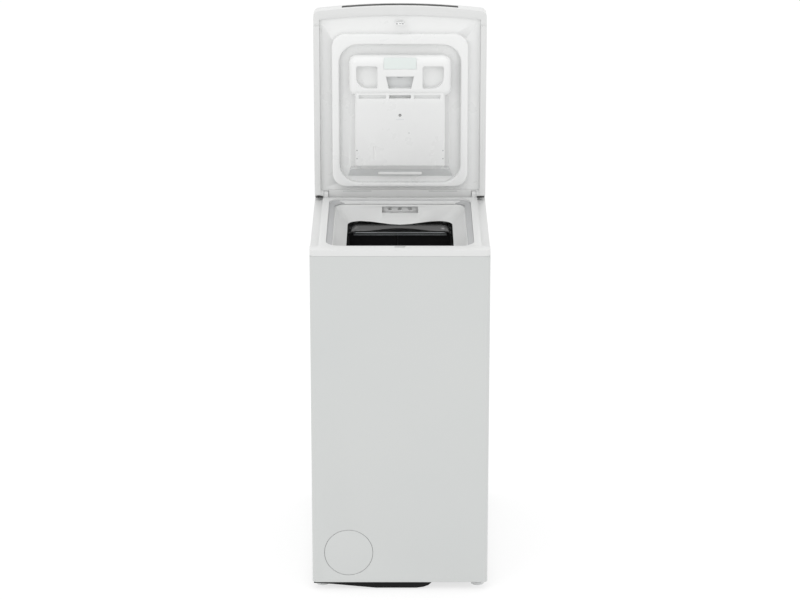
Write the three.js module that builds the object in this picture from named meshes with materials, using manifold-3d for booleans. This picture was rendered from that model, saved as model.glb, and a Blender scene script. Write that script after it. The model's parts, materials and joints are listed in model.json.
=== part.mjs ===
// A slim top-loading washing machine, lid open, in millimetres.
// X runs to the right seen from the front, Y to the back and Z up from the floor.
// The origin is on the floor, under the middle of the cabinet.
import * as THREE from "three";
import { mergeVertices } from "three/addons/utils/BufferGeometryUtils.js";
import Module from "manifold-3d";

const wasm = await Module();
wasm.setup();

// Driving dimensions: the cabinet.
const WIDTH = 400;
const DEPTH = 600;
const DECK_TOP = 810;
const SHEET_TOP = 796;
const LEDGE_TOP = 802;
const PANEL_BOTTOM = 17;
const SHEET = 1;
const CORNER = 10;
const FLANGE = 14;
const GAP = 0.3;
const WALL = 3;

// The loading opening and its funnel.
const OPENING_HALF = 165;
const OPENING_FRONT_INSET = 36;
const OPENING_LENGTH = 388;
const BORDER = 16;
const REAR_BORDER = 5;
const SEAL_WIDTH = 13;
const SEAL_FALL = 7;
const SEAL_REAR = 4;
const FUNNEL_WALL = 3;
const BELLOWS_WALL = 2.5;
const BELLOWS_FOLD = 6;
const FUNNEL_LIP = 2;
const THROAT_HALF = 122;
const THROAT_INSET_FRONT = 26;
const THROAT_INSET_BACK = 29;
const THROAT_DROP = 48;
const THROAT_BULGE = 30;

// The lid, measured from its hinge: u along the lid, v through its thickness.
const HINGE_BACK = 16;
const HINGE_RISE = 6;
const LID_FRONT_LAP = 44;
const LID_BOW = 11;
const LID_TOP = 36;
const LID_REAR = 9;
const LID_SKIN = 3;
const SIDE_RIM = 14;
const FRONT_RIM = 20;
const LID_CORNER = 14;
const RIM_CLEARANCE = 1;
const EAR_RADIUS = 9;
const EAR_LENGTH = 17;
const POST_RADIUS = 7;
const PIN_RADIUS = 3;
const LINER_FACE = 2;
const PLUG_DEPTH = 12;
const PLUG_CLEARANCE = 7;
const PLUG_BAND = 17.5;
const PLUG_CORNER = 32;
const HANDLE_HALF = 134;
const HANDLE_HEIGHT = 5;
const HANDLE_WIDTH = 20;
const DISPENSER_SIDE_GAP = 61;
const DISPENSER_FLARE = 14;
const DISPENSER_START = 66;
const DISPENSER_FRONT_GAP = 111;
const DISPENSER_DEPTH = 35;
const LEDGE_OVERLAP = 10;
const LEDGE_START = 44.6;
const LEDGE_DEPTH = 30;
const POCKET_HEIGHT = 69;
const POCKET_TOP_INSET = 9;
const SIDE_POCKET_LENGTH = 53;
const SIDE_POCKET_TOP_INSET = 23;
const SIDE_POCKET_EDGE = 3;
const SIDE_POCKET_INSET = 52;
const SLOT_TOP_INSET = 90.8;
const SLOT_WIDTH = 8.6;
const SLOT_EDGE = 9;
const POCKET_MIDDLE = 64;

// The control console behind the lid.
const CONSOLE_TOP = 900;
const CONSOLE_FRONT_TOP = 850;
const CONSOLE_DEPTH = 118;
const CONSOLE_CROWN = 38;
const FASCIA_THICK = 2.5;
const KNOB_RADIUS = 21;
const KNOB_HEIGHT = 16;
const BUTTON_RADIUS = 8;
const BUTTON_HEIGHT = 4;

// The tub, the drum and the drive.
const TUB_RADIUS = 248;
const TUB_WALL = 3;
const TUB_END_GAP_LEFT = 39;
const TUB_END_GAP_RIGHT = 49;
const TUB_FRONT_GAP = 16;
const TUB_CROWN_DROP = 77;
const MOUTH_LENGTH = 280;
const MOUTH_RIM = 2;
const DRUM_GAP = 17;
const DRUM_SIDE_GAP = 15;
const DRUM_SHEET = 1;
const HATCH_HALF = 100;
const HATCH_ANGLE = 35;
const FLAP_GAP = 1.5;
const SHAFT_RADIUS = 15;
const BEARING_RADIUS = 26;
const BEARING_WIDTH = 12;
const PULLEY_RADIUS = 150;
const PULLEY_WIDTH = 12;
const PULLEY_GAP = 16;
const BELT_THICK = 3;
const MOTOR_RADIUS = 50;
const MOTOR_LENGTH = 170;
const MOTOR_PULLEY_RADIUS = 10;
const MOTOR_Y = 60;
const MOTOR_Z = 150;

// The base: filter, pump, dampers, feet and castors.
const FILTER_RADIUS = 55;
const FILTER_X = -117;
const FILTER_Z = 90;
const FILTER_GAP = 0.7;
const CLIP_OFFSET = 47;
const PUMP_RADIUS = 42;
const PUMP_BORE = 34;
const DAMPER_RADIUS = 12;
const DAMPER_X = 110;
const SPRING_RADIUS = 8;
const SPRING_INSET = 25;
const FOOT_RADIUS = 15;
const FOOT_HEIGHT = 8;
const FOOT_INSET = 22;
const FOOT_SETBACK = 35;
const STEM_RADIUS = 5;
const TRAY_FLOOR = 3;
const TRAY_HEIGHT = 32;
const LEVER_LENGTH = 270;
const LEVER_WIDTH = 16;
const WHEEL_RADIUS = 6;
const WHEEL_WIDTH = 24;
const AXLE_RADIUS = 2.5;

// Places that follow from the dimensions.
const LEFT = -WIDTH / 2;
const RIGHT = WIDTH / 2;
const FRONT = -DEPTH / 2;
const BACK = DEPTH / 2;
const INNER = RIGHT - SHEET;
const OPENING_FRONT = FRONT + OPENING_FRONT_INSET;
const OPENING_BACK = OPENING_FRONT + OPENING_LENGTH;
const AXIS_Y = OPENING_BACK + HINGE_BACK;
const AXIS_Z = DECK_TOP + HINGE_RISE;
const CONSOLE_FRONT = BACK - CONSOLE_DEPTH;
const TUB_LEFT = LEFT + SHEET + TUB_END_GAP_LEFT;
const TUB_RIGHT = RIGHT - SHEET - TUB_END_GAP_RIGHT;
const TUB_Y = FRONT + SHEET + TUB_FRONT_GAP + TUB_RADIUS;
const TUB_Z = DECK_TOP - TUB_CROWN_DROP - TUB_RADIUS;
const DRUM_RADIUS = TUB_RADIUS - TUB_WALL - DRUM_GAP;
const DRUM_LEFT = TUB_LEFT + TUB_WALL + DRUM_SIDE_GAP;
const DRUM_RIGHT = TUB_RIGHT - TUB_WALL - DRUM_SIDE_GAP;
const MOUTH_Z = TUB_Z + TUB_RADIUS + MOUTH_RIM;
const MOUTH_FRONT = TUB_Y - MOUTH_LENGTH / 2 - 8;
const MOUTH_BACK = MOUTH_FRONT + MOUTH_LENGTH;
const FUNNEL_BOTTOM = DECK_TOP - THROAT_DROP;
const THROAT_FRONT = OPENING_FRONT + THROAT_INSET_FRONT;
const THROAT_BACK = OPENING_BACK - THROAT_INSET_BACK;
const SEAL_INNER = OPENING_HALF - SEAL_WIDTH;
const FRAME_BOTTOM = SHEET_TOP + GAP;
const SEAL_BOTTOM = FRAME_BOTTOM - 0.7;
const FUNNEL_TOP = SEAL_BOTTOM - GAP;
const PULLEY_LEFT = TUB_RIGHT + PULLEY_GAP;
const PULLEY_RIGHT = PULLEY_LEFT + PULLEY_WIDTH;
const VALVE_X = -120;
const VALVE_Z = 700;
const VALVE_RADIUS = 13;
const FEET = [
  ["foot_front_left", -1, FRONT + FOOT_SETBACK],
  ["foot_front_right", 1, FRONT + FOOT_SETBACK],
  ["foot_rear_left", -1, BACK - FOOT_SETBACK],
  ["foot_rear_right", 1, BACK - FOOT_SETBACK],
];
const TRAY_Z = PANEL_BOTTOM + 0.5;
const LEVER_PIVOT_X = LEFT + 17;
const LEVER_Y = FRONT + 0.5;
const LEVER_PIVOT_Y = LEVER_Y + LEVER_WIDTH / 2 + 2;
const DISH_FRONT = FRONT + SHEET + GAP;
const DISH_FLOOR = DISH_FRONT + 10;
const HOSE_Y = FRONT + 68;
const HOSE_TOP = TUB_Z - Math.sqrt(TUB_RADIUS ** 2 - (HOSE_Y - TUB_Y) ** 2) - 30;
const FRAME_CORNER = 34;
const LATCH_Y = OPENING_FRONT - 7;
const SPRING_X = RIGHT - SPRING_INSET;
const NOZZLE_HALF = 42;
const NOZZLE_HEIGHT = 13;
const NOZZLE_Z = FUNNEL_TOP - 17.5;
const BELLOWS_TOP = FUNNEL_BOTTOM - GAP;
const BELLOWS_BOTTOM = MOUTH_Z + GAP;
const MOUTH_HALF = THROAT_HALF - 4;
const SLOPE_START = { y: CONSOLE_FRONT + 8, z: CONSOLE_FRONT_TOP + 2 };
const SLOPE_END = { y: BACK - CONSOLE_CROWN, z: CONSOLE_TOP };
const SLOPE = Math.atan2(SLOPE_END.z - SLOPE_START.z, SLOPE_END.y - SLOPE_START.y);
const SLOPE_LENGTH = Math.hypot(SLOPE_END.z - SLOPE_START.z, SLOPE_END.y - SLOPE_START.y);
const FASCIA_LENGTH = SLOPE_LENGTH - 14;
const FASCIA_HALF = RIGHT - 10;
const KNOB_X = 105;
const BUTTON_X = 160;
const FASCIA_MIDDLE = SLOPE_LENGTH / 2;
const SPRING_LOW = TUB_Z + 178;
const SPRING_HIGH = SHEET_TOP - 20;
const LIFTER_ANGLES = [125, 235];
const HATCH_BUTTON_RADIUS = 12;
const HATCH_BUTTON_Y = TUB_Y - 30;
const BOW_HALF = RIGHT - LID_CORNER;
const BOW_RADIUS = (BOW_HALF ** 2 + LID_BOW ** 2) / (2 * LID_BOW);
const LINER_START = 11;
const LEDGE_END = DISPENSER_START - 0.6;
const LINER_HALF = RIGHT - SIDE_RIM - GAP;
const LID_LENGTH = HINGE_BACK + OPENING_LENGTH + LID_FRONT_LAP;
const PLUG_HALF = OPENING_HALF - PLUG_CLEARANCE;
const PLUG_START = AXIS_Y - OPENING_BACK + 3.4;
const PLUG_END = AXIS_Y - OPENING_FRONT - 20;
const RIM_LOW = LEDGE_TOP + RIM_CLEARANCE - AXIS_Z;
const FRONT_RIM_LOW = DECK_TOP + 1.5 - AXIS_Z;
const DEEP_RIM_END = AXIS_Y - OPENING_FRONT - RIM_CLEARANCE;
const LATCH_U = AXIS_Y - LATCH_Y;
const DISPENSER_FACE = -DISPENSER_DEPTH;
const DISPENSER_HALF = OPENING_HALF - DISPENSER_SIDE_GAP;
const DISPENSER_END = LID_LENGTH - DISPENSER_FRONT_GAP;
const LEDGE_HALF = DISPENSER_HALF + LEDGE_OVERLAP;
const SIDE_POCKET_END = DISPENSER_END - SIDE_POCKET_TOP_INSET;
const SIDE_POCKET_START = SIDE_POCKET_END - SIDE_POCKET_LENGTH;
const SLOT_END = DISPENSER_END - SLOT_TOP_INSET;
const SLOT_START = SLOT_END - SLOT_WIDTH;
const POCKET_END = DISPENSER_END - POCKET_TOP_INSET;

const ROUND = 40;
const SMALL_ROUND = 16;
const CORNER_STEPS = 5;
const CURVE_STEPS = 6;
const REAR_STEPS = 8;

const materials = {
  enamel: new THREE.MeshStandardMaterial({ color: 0xe4e5e5, roughness: 0.35, metalness: 0 }),
  moulding: new THREE.MeshStandardMaterial({ color: 0xeeeeee, roughness: 0.4, metalness: 0 }),
  liner: new THREE.MeshStandardMaterial({ color: 0xf2f2f2, roughness: 0.3, metalness: 0 }),
  rubber: new THREE.MeshStandardMaterial({ color: 0x101010, roughness: 0.5, metalness: 0 }),
  seal: new THREE.MeshStandardMaterial({ color: 0xb4b6b8, roughness: 0.6, metalness: 0 }),
  black: new THREE.MeshStandardMaterial({ color: 0x161616, roughness: 0.45, metalness: 0 }),
  fascia: new THREE.MeshStandardMaterial({ color: 0x1c1d20, roughness: 0.15, metalness: 0 }),
  grey: new THREE.MeshStandardMaterial({ color: 0xb0b3b6, roughness: 0.4, metalness: 0 }),
  tub: new THREE.MeshStandardMaterial({ color: 0x202123, roughness: 0.6, metalness: 0 }),
  steel: new THREE.MeshStandardMaterial({ color: 0xb8bbbe, roughness: 0.3, metalness: 1 }),
  aluminium: new THREE.MeshStandardMaterial({ color: 0xa6a8aa, roughness: 0.4, metalness: 1 }),
  concrete: new THREE.MeshStandardMaterial({ color: 0x8d8b86, roughness: 0.9, metalness: 0 }),
};

const machine = new THREE.Group();

// A closed three.js geometry as a solid that can be cut and joined.
function solidOf(geometry) {
  const loose = geometry.index ? geometry.toNonIndexed() : geometry.clone();
  loose.deleteAttribute("normal");
  loose.deleteAttribute("uv");
  const merged = mergeVertices(loose, 1e-4);
  const vertProperties = new Float32Array(merged.attributes.position.array);
  const triVerts = new Uint32Array(merged.index.array);
  return new wasm.Manifold(new wasm.Mesh({ numProp: 3, vertProperties, triVerts }));
}

function geometryOf(solid) {
  const data = solid.getMesh();
  const geometry = new THREE.BufferGeometry();
  geometry.setAttribute("position", new THREE.BufferAttribute(data.vertProperties, 3));
  geometry.setIndex(new THREE.BufferAttribute(data.triVerts, 1));
  return geometry;
}

function moved(solid, matrix) {
  return solidOf(geometryOf(solid).applyMatrix4(matrix));
}

// Adds a solid to the machine as a named mesh.
function add(name, material, solid) {
  const geometry = geometryOf(solid);
  geometry.computeVertexNormals();
  const mesh = new THREE.Mesh(geometry, materials[material]);
  mesh.name = name;
  machine.add(mesh);
}

function union(...solids) {
  return solids.reduce((whole, next) => whole.add(next));
}

function cut(solid, ...tools) {
  return tools.reduce((whole, tool) => whole.subtract(tool), solid);
}

function block(x0, x1, y0, y1, z0, z1) {
  const geometry = new THREE.BoxGeometry(x1 - x0, y1 - y0, z1 - z0);
  geometry.translate((x0 + x1) / 2, (y0 + y1) / 2, (z0 + z1) / 2);
  return solidOf(geometry);
}

// A round bar along X, Y or Z; a and b are its centre on the other two axes, in order.
function bar(axis, radius, from, to, a, b, sides = SMALL_ROUND) {
  const geometry = new THREE.CylinderGeometry(radius, radius, to - from, sides);
  const middle = (from + to) / 2;
  if (axis === "x") {
    geometry.rotateZ(Math.PI / 2);
    geometry.translate(middle, a, b);
  } else if (axis === "y") {
    geometry.translate(a, middle, b);
  } else {
    geometry.rotateX(Math.PI / 2);
    geometry.translate(a, b, middle);
  }
  return solidOf(geometry);
}

function pipe(axis, outer, inner, from, to, a, b, sides = SMALL_ROUND) {
  return cut(bar(axis, outer, from, to, a, b, sides), bar(axis, inner, from - 1, to + 1, a, b, sides));
}

function shapeOf(points) {
  return new THREE.Shape(points.map(([x, y]) => new THREE.Vector2(x, y)));
}

function extruded(shape, depth) {
  return new THREE.ExtrudeGeometry(shape, { depth, bevelEnabled: false, curveSegments: CURVE_STEPS });
}

// An outline in X and Y, extruded upwards.
function slab(shape, z0, z1) {
  const geometry = extruded(shape, z1 - z0);
  geometry.translate(0, 0, z0);
  return solidOf(geometry);
}

// An outline in Y and Z, extruded along X.
function prismX(shape, x0, x1) {
  const geometry = extruded(shape, x1 - x0);
  const turn = new THREE.Matrix4();
  turn.makeBasis(new THREE.Vector3(0, 1, 0), new THREE.Vector3(0, 0, 1), new THREE.Vector3(1, 0, 0));
  geometry.applyMatrix4(turn);
  geometry.translate(x0, 0, 0);
  return solidOf(geometry);
}

// An outline in X and Z, extruded along Y.
function prismY(shape, y0, y1) {
  const geometry = extruded(shape, y1 - y0);
  const turn = new THREE.Matrix4();
  turn.makeBasis(new THREE.Vector3(1, 0, 0), new THREE.Vector3(0, 0, 1), new THREE.Vector3(0, -1, 0));
  geometry.applyMatrix4(turn);
  geometry.translate(0, y1, 0);
  return solidOf(geometry);
}

function roundedBox(x0, x1, y0, y1, radius) {
  const shape = new THREE.Shape();
  shape.absarc(x1 - radius, y0 + radius, radius, -Math.PI / 2, 0, false);
  shape.absarc(x1 - radius, y1 - radius, radius, 0, Math.PI / 2, false);
  shape.absarc(x0 + radius, y1 - radius, radius, Math.PI / 2, Math.PI, false);
  shape.absarc(x0 + radius, y0 + radius, radius, Math.PI, 1.5 * Math.PI, false);
  shape.closePath();
  return shape;
}

// An outline with round corners at the front only.
function frontRounded(half, front, back, radius) {
  const shape = new THREE.Shape();
  shape.absarc(half - radius, front + radius, radius, -Math.PI / 2, 0, false);
  shape.lineTo(half, back);
  shape.lineTo(-half, back);
  shape.absarc(-half + radius, front + radius, radius, Math.PI, 1.5 * Math.PI, false);
  shape.closePath();
  return shape;
}

// One level of a round-cornered opening; its back edge can swell forwards and down.
function level({ half, front, back, radius, z, bulge = 0 }) {
  const points = [];
  const inX = half - radius;
  const corner = (x, y, start) => {
    for (let i = 0; i <= CORNER_STEPS; i += 1) {
      const angle = start + (i / CORNER_STEPS) * (Math.PI / 2);
      points.push(new THREE.Vector3(x + radius * Math.cos(angle), y + radius * Math.sin(angle), z));
    }
  };
  corner(inX, front + radius, -Math.PI / 2);
  corner(inX, back - radius, 0);
  for (let i = 1; i < REAR_STEPS; i += 1) {
    const t = i / REAR_STEPS;
    const swell = Math.sin(Math.PI * t) ** 2;
    points.push(new THREE.Vector3(inX - 2 * inX * t, back - bulge * swell, z));
  }
  corner(-inX, back - radius, Math.PI / 2);
  corner(-inX, front + radius, Math.PI);
  return points;
}

// A closed wall through a loop of levels: in along one face and back along the other.
function loopLoft(levels) {
  const rings = levels.map(level);
  const count = rings[0].length;
  const triangles = [];
  rings.forEach((ring, i) => {
    const next = rings[(i + 1) % rings.length];
    for (let j = 0; j < count; j += 1) {
      const k = (j + 1) % count;
      triangles.push([ring[j], ring[k], next[k]]);
      triangles.push([ring[j], next[k], next[j]]);
    }
  });
  const build = (faces) => {
    const geometry = new THREE.BufferGeometry();
    geometry.setFromPoints(faces.flat());
    return solidOf(geometry);
  };
  const solid = build(triangles);
  return solid.volume() > 0 ? solid : build(triangles.map(([a, b, c]) => [a, c, b]));
}

function makeCabinetShell() {
  const outer = slab(frontRounded(RIGHT, FRONT, BACK - 2, CORNER), PANEL_BOTTOM, SHEET_TOP);
  const hollow = slab(
    frontRounded(INNER, FRONT + SHEET, BACK + 5, CORNER - SHEET), PANEL_BOTTOM - 5, SHEET_TOP + 5);
  const shell = cut(outer, hollow);
  const flange = (side) => block(
    Math.min(side * INNER + side * 0.5, side * (INNER - FLANGE)),
    Math.max(side * INNER + side * 0.5, side * (INNER - FLANGE)),
    BACK - 2 - SHEET, BACK - 2, PANEL_BOTTOM, SHEET_TOP);
  const filterHole = bar("y", FILTER_RADIUS + FILTER_GAP, FRONT - 5, FRONT + 5, FILTER_X, FILTER_Z, ROUND);
  add("cabinet_shell", "enamel", cut(union(shell, flange(1), flange(-1)), filterHole));
}

function makeBackPanel() {
  const y0 = BACK - 2 + GAP;
  const y1 = y0 + SHEET;
  const panInset = 30;
  const panDepth = 8;
  const plate = block(LEFT + GAP, RIGHT - GAP, y0, y1, PANEL_BOTTOM + GAP, SHEET_TOP - GAP);
  const pan = block(LEFT + panInset, RIGHT - panInset, y0 - panDepth, y1, PANEL_BOTTOM + 80, SHEET_TOP - 180);
  const dish = block(
    LEFT + panInset + SHEET, RIGHT - panInset - SHEET, y0 - panDepth + SHEET, y1 + 5,
    PANEL_BOTTOM + 80 + SHEET, SHEET_TOP - 180 - SHEET);
  const valveHole = bar("y", VALVE_RADIUS + GAP, y0 - 2, y1 + 2, VALVE_X, VALVE_Z);
  add("back_panel", "steel", cut(union(plate, pan), dish, valveHole));
}

function makeInletValve() {
  const body = block(VALVE_X - 20, VALVE_X + 20, BACK - 60, BACK - 20, VALVE_Z - 20, VALVE_Z + 20);
  const thread = bar("y", VALVE_RADIUS, BACK - 22, BACK, VALVE_X, VALVE_Z);
  const bore = bar("y", VALVE_RADIUS - 3, BACK - 14, BACK + 1, VALVE_X, VALVE_Z);
  const coil = bar("z", 12, VALVE_Z + 19, VALVE_Z + 45, VALVE_X, BACK - 40);
  add("inlet_valve", "grey", cut(union(body, thread, coil), bore));
}

function makeBaseTray() {
  const half = INNER - GAP;
  const front = FRONT + SHEET + GAP;
  const back = BACK - 2 - SHEET - GAP;
  const outer = slab(frontRounded(half, front, back, CORNER - SHEET - GAP), TRAY_Z, TRAY_Z + TRAY_HEIGHT);
  const hollow = block(
    -half + WALL, half - WALL, front + CORNER, back - WALL, TRAY_Z + TRAY_FLOOR, TRAY_Z + TRAY_HEIGHT + 5);
  let tray = cut(outer, hollow);
  for (const [, side, y] of FEET) {
    tray = tray.add(bar("z", 13, TRAY_Z, TRAY_Z + TRAY_HEIGHT - 4, side * (RIGHT - FOOT_INSET), y));
  }
  for (const [, side, y] of FEET) {
    const x = side * (RIGHT - FOOT_INSET);
    tray = tray.subtract(bar("z", STEM_RADIUS + GAP, TRAY_Z - 1, TRAY_Z + TRAY_HEIGHT + 1, x, y));
  }
  const pivotHole = bar("z", STEM_RADIUS + GAP, TRAY_Z - 1, TRAY_Z + 12, LEVER_PIVOT_X, LEVER_PIVOT_Y);
  const pumpRoom = bar("y", FILTER_RADIUS + 6, front - 1, front + 30, FILTER_X, FILTER_Z, ROUND);
  add("base_tray", "black", cut(tray, pivotHole, pumpRoom));
}

function makeFeet() {
  for (const [name, side, y] of FEET) {
    const x = side * (RIGHT - FOOT_INSET);
    const pad = bar("z", FOOT_RADIUS, 0, FOOT_HEIGHT, x, y);
    const stem = bar("z", STEM_RADIUS, FOOT_HEIGHT - 1, TRAY_Z + TRAY_HEIGHT - 4, x, y);
    add(name, "grey", union(pad, stem));
  }
}

function makeCastors() {
  const top = PANEL_BOTTOM - GAP;
  const low = 2.6;
  const start = LEFT + 3;
  const end = start + LEVER_LENGTH;
  const outline = shapeOf([
    [start, top - 2.4], [start + 40, top - 4.5], [start + 95, top - 9.5], [start + 142, low],
    [end - 36, low], [end - 20, low + 2], [end - 8, low + 6.5], [end, top], [start, top]]);
  const blade = prismY(outline, LEVER_Y, LEVER_Y + LEVER_WIDTH);
  const pivot = bar("z", STEM_RADIUS, top - 1.5, TRAY_Z + 9, LEVER_PIVOT_X, LEVER_PIVOT_Y);
  add("castor_lever", "black", union(blade, pivot));

  const y = FRONT + 90;
  const z = WHEEL_RADIUS + 3.2;
  const half = RIGHT - 70;
  const carriage = block(-half, half, y - 12, y + 12, z - 2.7, TRAY_Z - 1);
  const axle = bar("x", AXLE_RADIUS, -half - WHEEL_WIDTH - 3, half + WHEEL_WIDTH + 3, y, z);
  add("castor_carriage", "steel", union(carriage, axle));
  for (const [name, side] of [["castor_wheel_left", -1], ["castor_wheel_right", 1]]) {
    const middle = side * (half + 1 + WHEEL_WIDTH / 2);
    const ends = [middle - WHEEL_WIDTH / 2, middle + WHEEL_WIDTH / 2];
    add(name, "black", pipe("x", WHEEL_RADIUS, AXLE_RADIUS + GAP, ends[0], ends[1], y, z));
  }
}

function makeFilterAndPump() {
  const place = [FILTER_X, FILTER_Z];
  const ring = bar("y", FILTER_RADIUS + 5, DISH_FRONT, DISH_FLOOR + 2, ...place, ROUND);
  const dish = bar("y", FILTER_RADIUS + GAP, DISH_FRONT - 1, DISH_FLOOR, ...place, ROUND);
  const eye = bar("y", PUMP_RADIUS + GAP, DISH_FLOOR - 1, DISH_FLOOR + 3, ...place, ROUND);
  add("filter_surround", "moulding", cut(ring, dish, eye));

  const face = bar("y", FILTER_RADIUS - 0.2, FRONT, FRONT + 2.5, ...place, ROUND);
  const clip = (side) => {
    const x = FILTER_X + side * CLIP_OFFSET;
    return block(x - 2, x + 2, FRONT + 2, DISH_FLOOR - 1, FILTER_Z - 8, FILTER_Z + 8);
  };
  add("filter_cover", "enamel", union(face, clip(1), clip(-1)));

  const mouth = DISH_FLOOR + 0.5;
  const housing = bar("y", PUMP_RADIUS, mouth, mouth + 95, ...place, 24);
  const bore = bar("y", PUMP_BORE, mouth - 1, mouth + 78, ...place, 24);
  const motor = bar("y", 28, mouth + 94, mouth + 190, ...place);
  const spigot = bar("z", 18, FILTER_Z + 30, FILTER_Z + 50, FILTER_X, HOSE_Y);
  const neck = bar("z", 14, FILTER_Z, FILTER_Z + 51, FILTER_X, HOSE_Y);
  add("drain_pump", "grey", cut(union(housing, motor, spigot), bore, neck));

  const plug = bar("y", PUMP_BORE - GAP, mouth - 2, mouth + 12, ...place, 24);
  const sieve = bar("y", 20, mouth + 11, mouth + 60, ...place);
  const grip = block(FILTER_X - 5, FILTER_X + 5, mouth - 8, mouth - 1, FILTER_Z - 25, FILTER_Z + 25);
  add("pump_filter", "grey", union(plug, sieve, grip));
}

function makeSumpHose() {
  add("sump_hose", "rubber", pipe(
    "z", 20, 16, FILTER_Z + 50 + GAP, HOSE_TOP - GAP, FILTER_X, HOSE_Y));
}

function makeTopFrame() {
  const half = RIGHT;
  const deck = slab(frontRounded(half, FRONT, CONSOLE_FRONT - 0.5, CORNER + 1), FRAME_BOTTOM, LEDGE_TOP);
  const borderHalf = OPENING_HALF + BORDER;
  const border = slab(
    roundedBox(-borderHalf, borderHalf, FRONT + 20, OPENING_BACK + REAR_BORDER, 5), FRAME_BOTTOM, DECK_TOP);
  const band = slab(frontRounded(half, FRONT, OPENING_FRONT, CORNER + 1), FRAME_BOTTOM, DECK_TOP);
  const opening = slab(
    roundedBox(-OPENING_HALF, OPENING_HALF, OPENING_FRONT, OPENING_BACK, FRAME_CORNER),
    SHEET_TOP - 5, DECK_TOP + 5);
  const slot = block(-12, 12, LATCH_Y - 5, LATCH_Y + 5, SHEET_TOP - 5, DECK_TOP + 5);
  const groove = (side) => block(
    side > 0 ? OPENING_HALF + WALL : -borderHalf + WALL, side > 0 ? borderHalf - WALL : -OPENING_HALF - WALL,
    OPENING_FRONT + 5, OPENING_BACK - 10, FRAME_BOTTOM - 1, DECK_TOP - WALL);
  let frame = cut(union(deck, border, band), opening, slot, groove(1), groove(-1));
  for (const side of [-1, 1]) {
    const inner = side * (RIGHT - EAR_LENGTH - 4 - 0.5);
    const outer = side * (OPENING_HALF + 3);
    const x0 = Math.min(inner, outer);
    const x1 = Math.max(inner, outer);
    const post = union(
      block(x0, x1, AXIS_Y - POST_RADIUS, AXIS_Y + POST_RADIUS, LEDGE_TOP - 1, AXIS_Z),
      bar("x", POST_RADIUS, x0, x1, AXIS_Y, AXIS_Z, 24));
    const pinHole = bar("x", PIN_RADIUS + GAP, x0 - 1, x1 + 1, AXIS_Y, AXIS_Z);
    const lug = block(
      side * SPRING_X - 6, side * SPRING_X + 6, TUB_Y - 6, TUB_Y + 6, SHEET_TOP - 20, DECK_TOP - WALL + 0.5);
    frame = union(cut(frame, pinHole), cut(post, pinHole), lug);
  }
  add("top_frame", "moulding", frame);
}

function makeLidSeal() {
  const outer = { half: OPENING_HALF - GAP, front: OPENING_FRONT + GAP, back: OPENING_BACK - GAP };
  const inner = {
    half: SEAL_INNER, front: OPENING_FRONT + SEAL_WIDTH - 1, back: OPENING_BACK - SEAL_REAR };
  const radius = FRAME_CORNER;
  add("lid_seal", "seal", loopLoft([
    { ...outer, radius, z: DECK_TOP - 4 },
    { ...inner, radius: radius - 8, z: DECK_TOP - 4 - SEAL_FALL },
    { ...inner, radius: radius - 8, z: SEAL_BOTTOM },
    { ...outer, radius, z: SEAL_BOTTOM },
  ]));
}

function makeFunnel() {
  const w = FUNNEL_WALL;
  const top = {
    half: SEAL_INNER - FUNNEL_LIP, front: OPENING_FRONT + SEAL_WIDTH + 1,
    back: OPENING_BACK - SEAL_REAR - FUNNEL_LIP };
  const waist = { half: top.half - 4, front: top.front + 4, back: top.back - 4 };
  const throat = { half: THROAT_HALF, front: THROAT_FRONT, back: THROAT_BACK };
  const grow = (ring, by) => ({ half: ring.half + by, front: ring.front - by, back: ring.back + by });
  const flangeOut = {
    half: OPENING_HALF + 2, front: OPENING_FRONT + 2, back: OPENING_BACK + 2 };
  const waistZ = FUNNEL_TOP - 12;
  const wall = loopLoft([
    { ...top, radius: 26, z: FUNNEL_TOP },
    { ...waist, radius: 28, z: waistZ },
    { ...throat, radius: 30, z: FUNNEL_BOTTOM, bulge: THROAT_BULGE },
    { ...grow(throat, w), radius: 33, z: FUNNEL_BOTTOM },
    { ...grow(waist, w), radius: 31, z: waistZ },
    { ...grow(top, w), radius: 29, z: FUNNEL_TOP - 2.5 },
    { ...flangeOut, radius: 34, z: FUNNEL_TOP - 2.5 },
    { ...flangeOut, radius: 34, z: FUNNEL_TOP },
  ]);
  const windowHole = block(
    -NOZZLE_HALF, NOZZLE_HALF, THROAT_BACK - 5, OPENING_BACK + 20, NOZZLE_Z, NOZZLE_Z + NOZZLE_HEIGHT);
  add("loading_funnel", "moulding", cut(wall, windowHole));
}

function makeWaterNozzle() {
  const y0 = OPENING_BACK - SEAL_REAR + 2;
  const body = block(
    -NOZZLE_HALF - 4, NOZZLE_HALF + 4, y0, y0 + 18, NOZZLE_Z - 4, FUNNEL_TOP - 2.5 - GAP);
  const jets = [-24, 0, 24].map((x) => block(
    x - 4, x + 4, y0 - 1, y0 + 10, NOZZLE_Z + 3, NOZZLE_Z + NOZZLE_HEIGHT - 3));
  add("water_nozzle", "grey", cut(body, ...jets));
}

function makeBellows() {
  const folds = 3;
  const inside = [];
  const outside = [];
  for (let i = 0; i <= folds * 2; i += 1) {
    const t = i / (folds * 2);
    const fold = i % 2 === 0 ? 0 : -BELLOWS_FOLD;
    const mix = (a, b) => a + (b - a) * t;
    const ring = {
      half: mix(THROAT_HALF, MOUTH_HALF) + fold,
      front: mix(THROAT_FRONT, MOUTH_FRONT) - fold,
      back: mix(THROAT_BACK, MOUTH_BACK) + fold,
      radius: 28,
      z: mix(BELLOWS_TOP, BELLOWS_BOTTOM),
    };
    inside.push(ring);
    outside.unshift({
      ...ring,
      half: ring.half + BELLOWS_WALL,
      front: ring.front - BELLOWS_WALL,
      back: ring.back + BELLOWS_WALL,
      radius: 30,
    });
  }
  add("tub_bellows", "rubber", loopLoft([...inside, ...outside]));
}

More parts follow.
